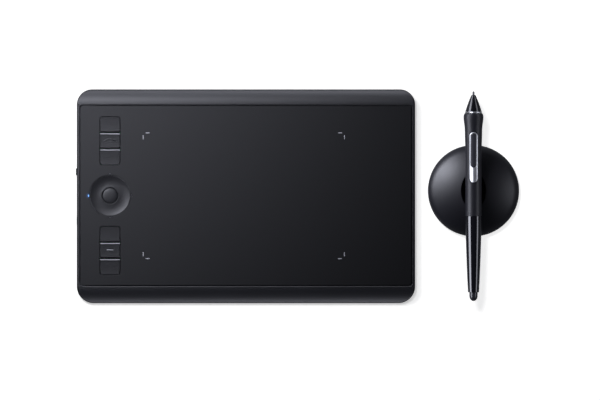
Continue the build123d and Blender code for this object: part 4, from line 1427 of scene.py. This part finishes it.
class TABLET_OT_pen_body(bpy.types.Operator):
    """Make the pen's nose cone, bright ring, grip and barrel"""

    bl_idname = "tablet.pen_body"
    bl_label = "Pen body"

    def execute(self, context):
        sizes = sizes_of(context.scene.pen_sizes)
        run = np.linspace(NOSE_RUN[0][0], NOSE_RUN[-1][0], 40)
        cone = np.stack([smooth_run(NOSE_RUN, run, (0.52, 0.27)), run], -1)
        cone = [(1.2, 6.0), (1.2, 3.0), (1.27, 2.86), (1.4, 2.8), *cone[1:-1]]
        cone += [(6.46, 16.0), (6.3, 16.1), (5.4, 16.1)]
        pen_piece("nose_cone", "pen_nose_cone", cone)
        trim = [(5.3, 16.15), (6.6, 16.15), (6.72, 16.25), (6.75, 16.4), (6.75, 17.0)]
        trim += [(6.72, 17.15), (6.6, 17.25), (5.3, 17.25)]
        pen_piece("trim_band", "pen_trim_ring", trim)
        run = np.concatenate([np.linspace(GRIP_START, 30, 50)[:-1], np.linspace(30, GRIP_END, 150)])
        turn = np.linspace(0, 2 * pi, 240, endpoint=False)
        along, around = np.meshgrid(run, turn, indexing="ij")
        radius = grip_radius(sizes, along)
        radius = radius - 0.25 * edge_drop(along - GRIP_START, 0.5)
        across, up = radius * np.sin(around), radius * np.cos(around)
        half = (sizes.bezel_length - sizes.bezel_width) / 2
        past = np.maximum(np.abs(along - sizes.bezel_middle) - half, 0)
        away = np.hypot(past, across) - sizes.bezel_width / 2
        dent = 0.22 * smooth_step(0.45, 0.1, away) * (up > 0)
        grow = 1 - dent / radius
        rings = pen_place(np.stack([along, across * grow, up * grow], -1))
        bore = np.stack([np.sin(turn), np.cos(turn)], -1) * GRIP_BORE
        first, last = (
            pen_place(np.column_stack([0 * turn + end, bore])) for end in (GRIP_START, GRIP_END)
        )
        rings_piece("grip_sleeve", [first, *rings, last], stands_for("pen_grip"), closed=True)
        run = np.linspace(GRIP_END, 159.4, 90)
        taper = np.stack([smooth_run(BARREL_RUN, run, (0.0, -0.055)), run], -1)
        tail = filleted([taper[-1], (4.38, 159.8), (3.5, 159.8)], (0, 0.3, 0), 5)
        barrel = [(5.4, 99.2), (6.26, 99.2), (6.4, 99.28), *taper[2:], *tail[1:]]
        barrel += [(3.45, 159.7), (3.45, 156.0), (4.5, 126.5), (5.2, 106.0)]
        pen_piece("barrel_shell", "pen_barrel", barrel)
        return {"FINISHED"}


class TABLET_OT_pen_switch(bpy.types.Operator):
    """Make the bright frame and the side switch in it"""

    bl_idname = "tablet.pen_switch"
    bl_label = "Side switch"

    def execute(self, context):
        sizes = sizes_of(context.scene.pen_sizes)

        def outline(length, width, at, grow):
            return capsule_ring(length + grow, width + grow, 48) + (at, 0)

        bezel = (sizes.bezel_length, sizes.bezel_width, sizes.bezel_middle)
        rocker = (sizes.rocker_length, sizes.rocker_width, sizes.rocker_middle)
        gap = 2 * sizes.rocker_gap
        outer, edge = (outline(*bezel, grow) for grow in (0.0, -0.3))
        hole, rim = (outline(*rocker, grow) for grow in (gap, gap + 0.16))
        rings = [(outer, -1.0), (outer, -0.03), ((outer * 2 + edge) / 3, 0.06)]
        rings += [(edge * (1 - b) + rim * b, 0.11) for b in np.linspace(0, 1, 20)]
        rings += [(hole, 0.03), (hole, -1.3)]
        points = [on_grip(sizes, flat[:, 0], flat[:, 1], lift) for flat, lift in rings]
        rings_piece("switch_frame", points, stands_for("pen_bezel"), closed=True)
        half = (sizes.rocker_length / 2, sizes.rocker_width / 2)

        def saddle(u, v):
            along = sizes.rocker_middle + u
            radius = grip_radius(sizes, along)
            surface = np.sqrt(radius**2 - v**2)
            seam = 0.16 * smooth_step(0.22, 0.06, np.abs(along - sizes.seam))
            ends = 0.30 * (np.abs(u) / half[0]) ** 3
            return surface + 0.44 - seam - ends

        how, radii = stands_for("pen_side_switch"), (half[1] - 0.01,) * 2
        places = [lambda points: pen_place(points + [sizes.rocker_middle, 0, 0])]
        caps_piece("side_switch", how, places, half, radii, saddle, 5.4, 0.4, (220, 48))
        return {"FINISHED"}


class TABLET_OT_pen_ends(bpy.types.Operator):
    """Make the nib and the eraser"""

    bl_idname = "tablet.pen_ends"
    bl_label = "Nib and eraser"

    def execute(self, context):
        nib_low, nib_high = cad_box("pen_nib")
        radius = (nib_high[0] - nib_low[0]) / 2
        turn = np.linspace(0, pi / 2, 12)
        tip = np.stack([radius * np.sin(turn), radius * (1 - np.cos(turn))], -1)
        long = nib_high[1] - nib_low[1]
        profile = np.vstack([tip, [(radius, long - 0.2), (radius - 0.2, long), (0, long)]])
        pen_piece("nib", "pen_nib", profile, 48, False)
        low, high = cad_box("pen_eraser")
        radius = (high[0] - low[0]) / 2
        end = nib_high[1] - low[1]
        turn = np.linspace(pi / 2, 0, 20)
        crown = np.stack([radius * np.sin(turn), end - 4.2 + 4.2 * np.cos(turn)], -1)
        profile = np.vstack([[(0, 157.0), (radius - 0.2, 157.0), (radius, 157.2)], crown])
        pen_piece("eraser", "pen_eraser", profile, 96, False)
        return {"FINISHED"}


# ---------------------------------------------------------------------------
# Insides and stage
# ---------------------------------------------------------------------------


class TABLET_OT_insides(bpy.types.Operator):
    """Give every CAD node its slot's finish"""

    bl_idname = "tablet.insides"
    bl_label = "Inside parts"

    def execute(self, context):
        for node, held in frame["nodes"].items():
            if not held.material_slots:
                held.data.materials.append(None)
            for slot in held.material_slots:
                slot.material = finish_of(SLOT_OF[node])
        return {"FINISHED"}


def lit_group(name, pieces):
    """A collection of the objects that a light falls on."""
    group = bpy.data.collections.new(name)
    for piece in pieces:
        group.objects.link(piece)
    return group


def soft_light(name, place, aim, size, power, group, tint=(0.94, 0.96, 1.08)):
    """A rectangular area light, by its place, what it faces and its size, all in metres."""
    data = bpy.data.lights.new(name, "AREA")
    data.shape = "RECTANGLE"
    data.size, data.size_y = size
    data.energy = power
    data.color = tint
    light = linked(name, data)
    light.location = place
    light.rotation_euler = (Vector(aim) - Vector(place)).to_track_quat("-Z", "Y").to_euler()
    light.light_linking.receiver_collection = group
    return light


class TABLET_OT_stage(bpy.types.Operator):
    """Make the floor, the lights and the camera"""

    bl_idname = "tablet.stage"
    bl_label = "Stage"

    def execute(self, context):
        scene = context.scene
        scene.view_settings.view_transform = "Standard"
        floor_finish = Finish("floor_paper", Emission_Strength=0.63)
        fibres = floor_finish.noise(3.0, 3.0)
        white = floor_finish.mix(fibres, (0.86, 0.86, 0.86), (0.88, 0.88, 0.88))
        floor_finish.feed("Base Color", white)
        floor_finish.feed("Roughness", fibres.spread(0.85, 0.95))
        floor_finish.feed("Emission Color", white)
        floor_mesh = bpy.data.meshes.new("floor")
        half = 4.0
        under = -0.0001
        corners = [(x * half, y * half, under) for x, y in ((-1, -1), (1, -1), (1, 1), (-1, 1))]
        floor_mesh.from_pydata(corners, [], [(0, 1, 2, 3)])
        floor_mesh.materials.append(floor_finish.material)
        floor = linked("floor", floor_mesh)
        floor.visible_glossy = False
        pen, trim, stand, tablet = [], [], [], []
        for piece in scene.objects:
            if piece.type == "MESH" and piece is not floor:
                body = (body_of(piece) or BODY_OF[piece.name])[0]
                held = pen if body.startswith("pen") else stand if "stand" in body else tablet
                if piece.active_material.name == "trim_plated":
                    held = trim
                held.append(piece)
        on_floor = lit_group("floor_receivers", [floor])
        on_pen = lit_group("pen_receivers", pen)
        on_trim = lit_group("trim_receivers", trim)
        on_stand = lit_group("stand_receivers", stand)
        on_tablet = lit_group("tablet_receivers", tablet)
        casing = [piece for piece in tablet if piece.active_material.name != "sheet_film"]
        on_casing = lit_group("casing_receivers", casing)
        x = middle("pen_core")[0] * MM
        plain = (1.0, 1.0, 1.0)
        soft_light("floor_high", (-0.34, 0.72, 2.4), (0, 0, 0), (0.44, 0.44), 22, on_floor, plain)
        low_light = soft_light(
            "floor_low", (-1.35, 1.35, 2.25), (0, 0, 0), (0.9, 0.9), 37, on_floor, plain
        )
        low_light.light_linking.blocker_collection = on_tablet
        key_light = soft_light(
            "key_light", (-0.34, 0.30, 0.49), (-0.18, 0.12, 0), (0.42, 0.38), 1.22, on_tablet
        )
        key_light.data.spread = radians(60)
        soft_light("rear_light", (0.05, 0.80, 0.32), (0, 0.05, 0), (0.9, 0.25), 5.6, on_casing)
        soft_light("front_light", (0.1, -0.9, 0.30), (0, -0.05, 0), (0.9, 0.1), 5.0, on_casing)
        soft_light("stand_key", (x - 0.46, 0.40, 0.42), (x, 0, 0.01), (0.34, 0.30), 6.4, on_stand)
        soft_light("stand_left", (x - 0.5, 0.2, 0.2), (x, 0, 0.01), (0.3, 0.3), 3.1, on_stand)
        soft_light("stand_right", (x + 0.6, 0, 0.3), (x, 0, 0.01), (0.4, 0.2), 0.9, on_stand)
        soft_light("pen_left", (x - 0.50, 0.35, 0.31), (x, 0.35, 0.02), (1.4, 0.34), 12, on_pen)
        soft_light("pen_right", (x + 0.52, 0.35, 0.31), (x, 0.35, 0.02), (1.4, 0.2), 3.0, on_pen)
        soft_light("trim_left", (x - 0.28, 0.35, 0.50), (x, 0.35, 0.02), (1.4, 0.30), 5.0, on_trim)
        soft_light("trim_right", (x + 0.52, 0.35, 0.31), (x, 0.35, 0.02), (1.4, 0.2), 1.6, on_trim)
        world = bpy.data.worlds.new("studio")
        world.use_nodes = True
        sky = Graph(world.node_tree)
        towards = sky.node("ShaderNodeTexCoord").out("Generated")
        parts = sky.node("ShaderNodeSeparateXYZ", None, {"Vector": towards})
        side = (parts.out("X") - parts.out("Y")).below(-0.7, 1.6)
        horizon = sky.mix(side, (0.10, 0.105, 0.12), (0.26, 0.27, 0.30))
        glow = sky.mix(parts.out("Z").below(0.12, 0.45), (0.015, 0.016, 0.02), horizon)
        background = world.node_tree.nodes["Background"]
        world.node_tree.links.new(glow.socket, background.inputs["Color"])
        scene.world = world
        camera_data = bpy.data.cameras.new("camera")
        camera_data.type = "ORTHO"
        camera_data.ortho_scale = 0.4771
        camera_data.clip_end = 10.0
        camera = linked("camera", camera_data)
        camera.location = (0.002015, -0.00298, 1.5)
        scene.camera = camera
        return {"FINISHED"}


# ---------------------------------------------------------------------------
# Panel and start
# ---------------------------------------------------------------------------

STEPS = (
    "casing",
    "sheet",
    "keys",
    "touch_ring",
    "edge_controls",
    "underside",
    "stand_dome",
    "stand_foot",
    "pen_body",
    "pen_switch",
    "pen_ends",
    "insides",
    "stage",
)


class TABLET_PT_looks(bpy.types.Panel):
    """The steps that dress the tablet, and the sizes and colours that they use"""

    bl_label = "Drawing Tablet"
    bl_space_type = "VIEW_3D"
    bl_region_type = "UI"
    bl_category = "Drawing Tablet"

    def draw(self, context):
        for step in STEPS:
            self.layout.operator(f"tablet.{step}")
        for holder in GROUPS:
            box = self.layout.box()
            group = getattr(context.scene, holder)
            for name in type(group).__annotations__:
                box.prop(group, name)


GROUPS = {
    "tablet_sizes": TabletSizes,
    "stand_sizes": StandSizes,
    "pen_sizes": PenSizes,
    "tablet_colours": SetColours,
}
CLASSES = (
    *GROUPS.values(),
    TABLET_OT_casing,
    TABLET_OT_sheet,
    TABLET_OT_keys,
    TABLET_OT_touch_ring,
    TABLET_OT_edge_controls,
    TABLET_OT_underside,
    TABLET_OT_stand_dome,
    TABLET_OT_stand_foot,
    TABLET_OT_pen_body,
    TABLET_OT_pen_switch,
    TABLET_OT_pen_ends,
    TABLET_OT_insides,
    TABLET_OT_stage,
    TABLET_PT_looks,
)


def register():
    """Registers the classes and hangs the property groups on the scene."""
    for cls in CLASSES:
        bpy.utils.register_class(cls)
    for name, group in GROUPS.items():
        setattr(bpy.types.Scene, name, bpy.props.PointerProperty(type=group))


def unregister():
    """Takes the property groups and the classes away again."""
    for name in GROUPS:
        delattr(bpy.types.Scene, name)
    for cls in reversed(CLASSES):
        bpy.utils.unregister_class(cls)


def main():
    """Makes every piece in order."""
    register()
    for step in STEPS:
        getattr(bpy.ops.tablet, step)()


if __name__ == "__main__":
    main()
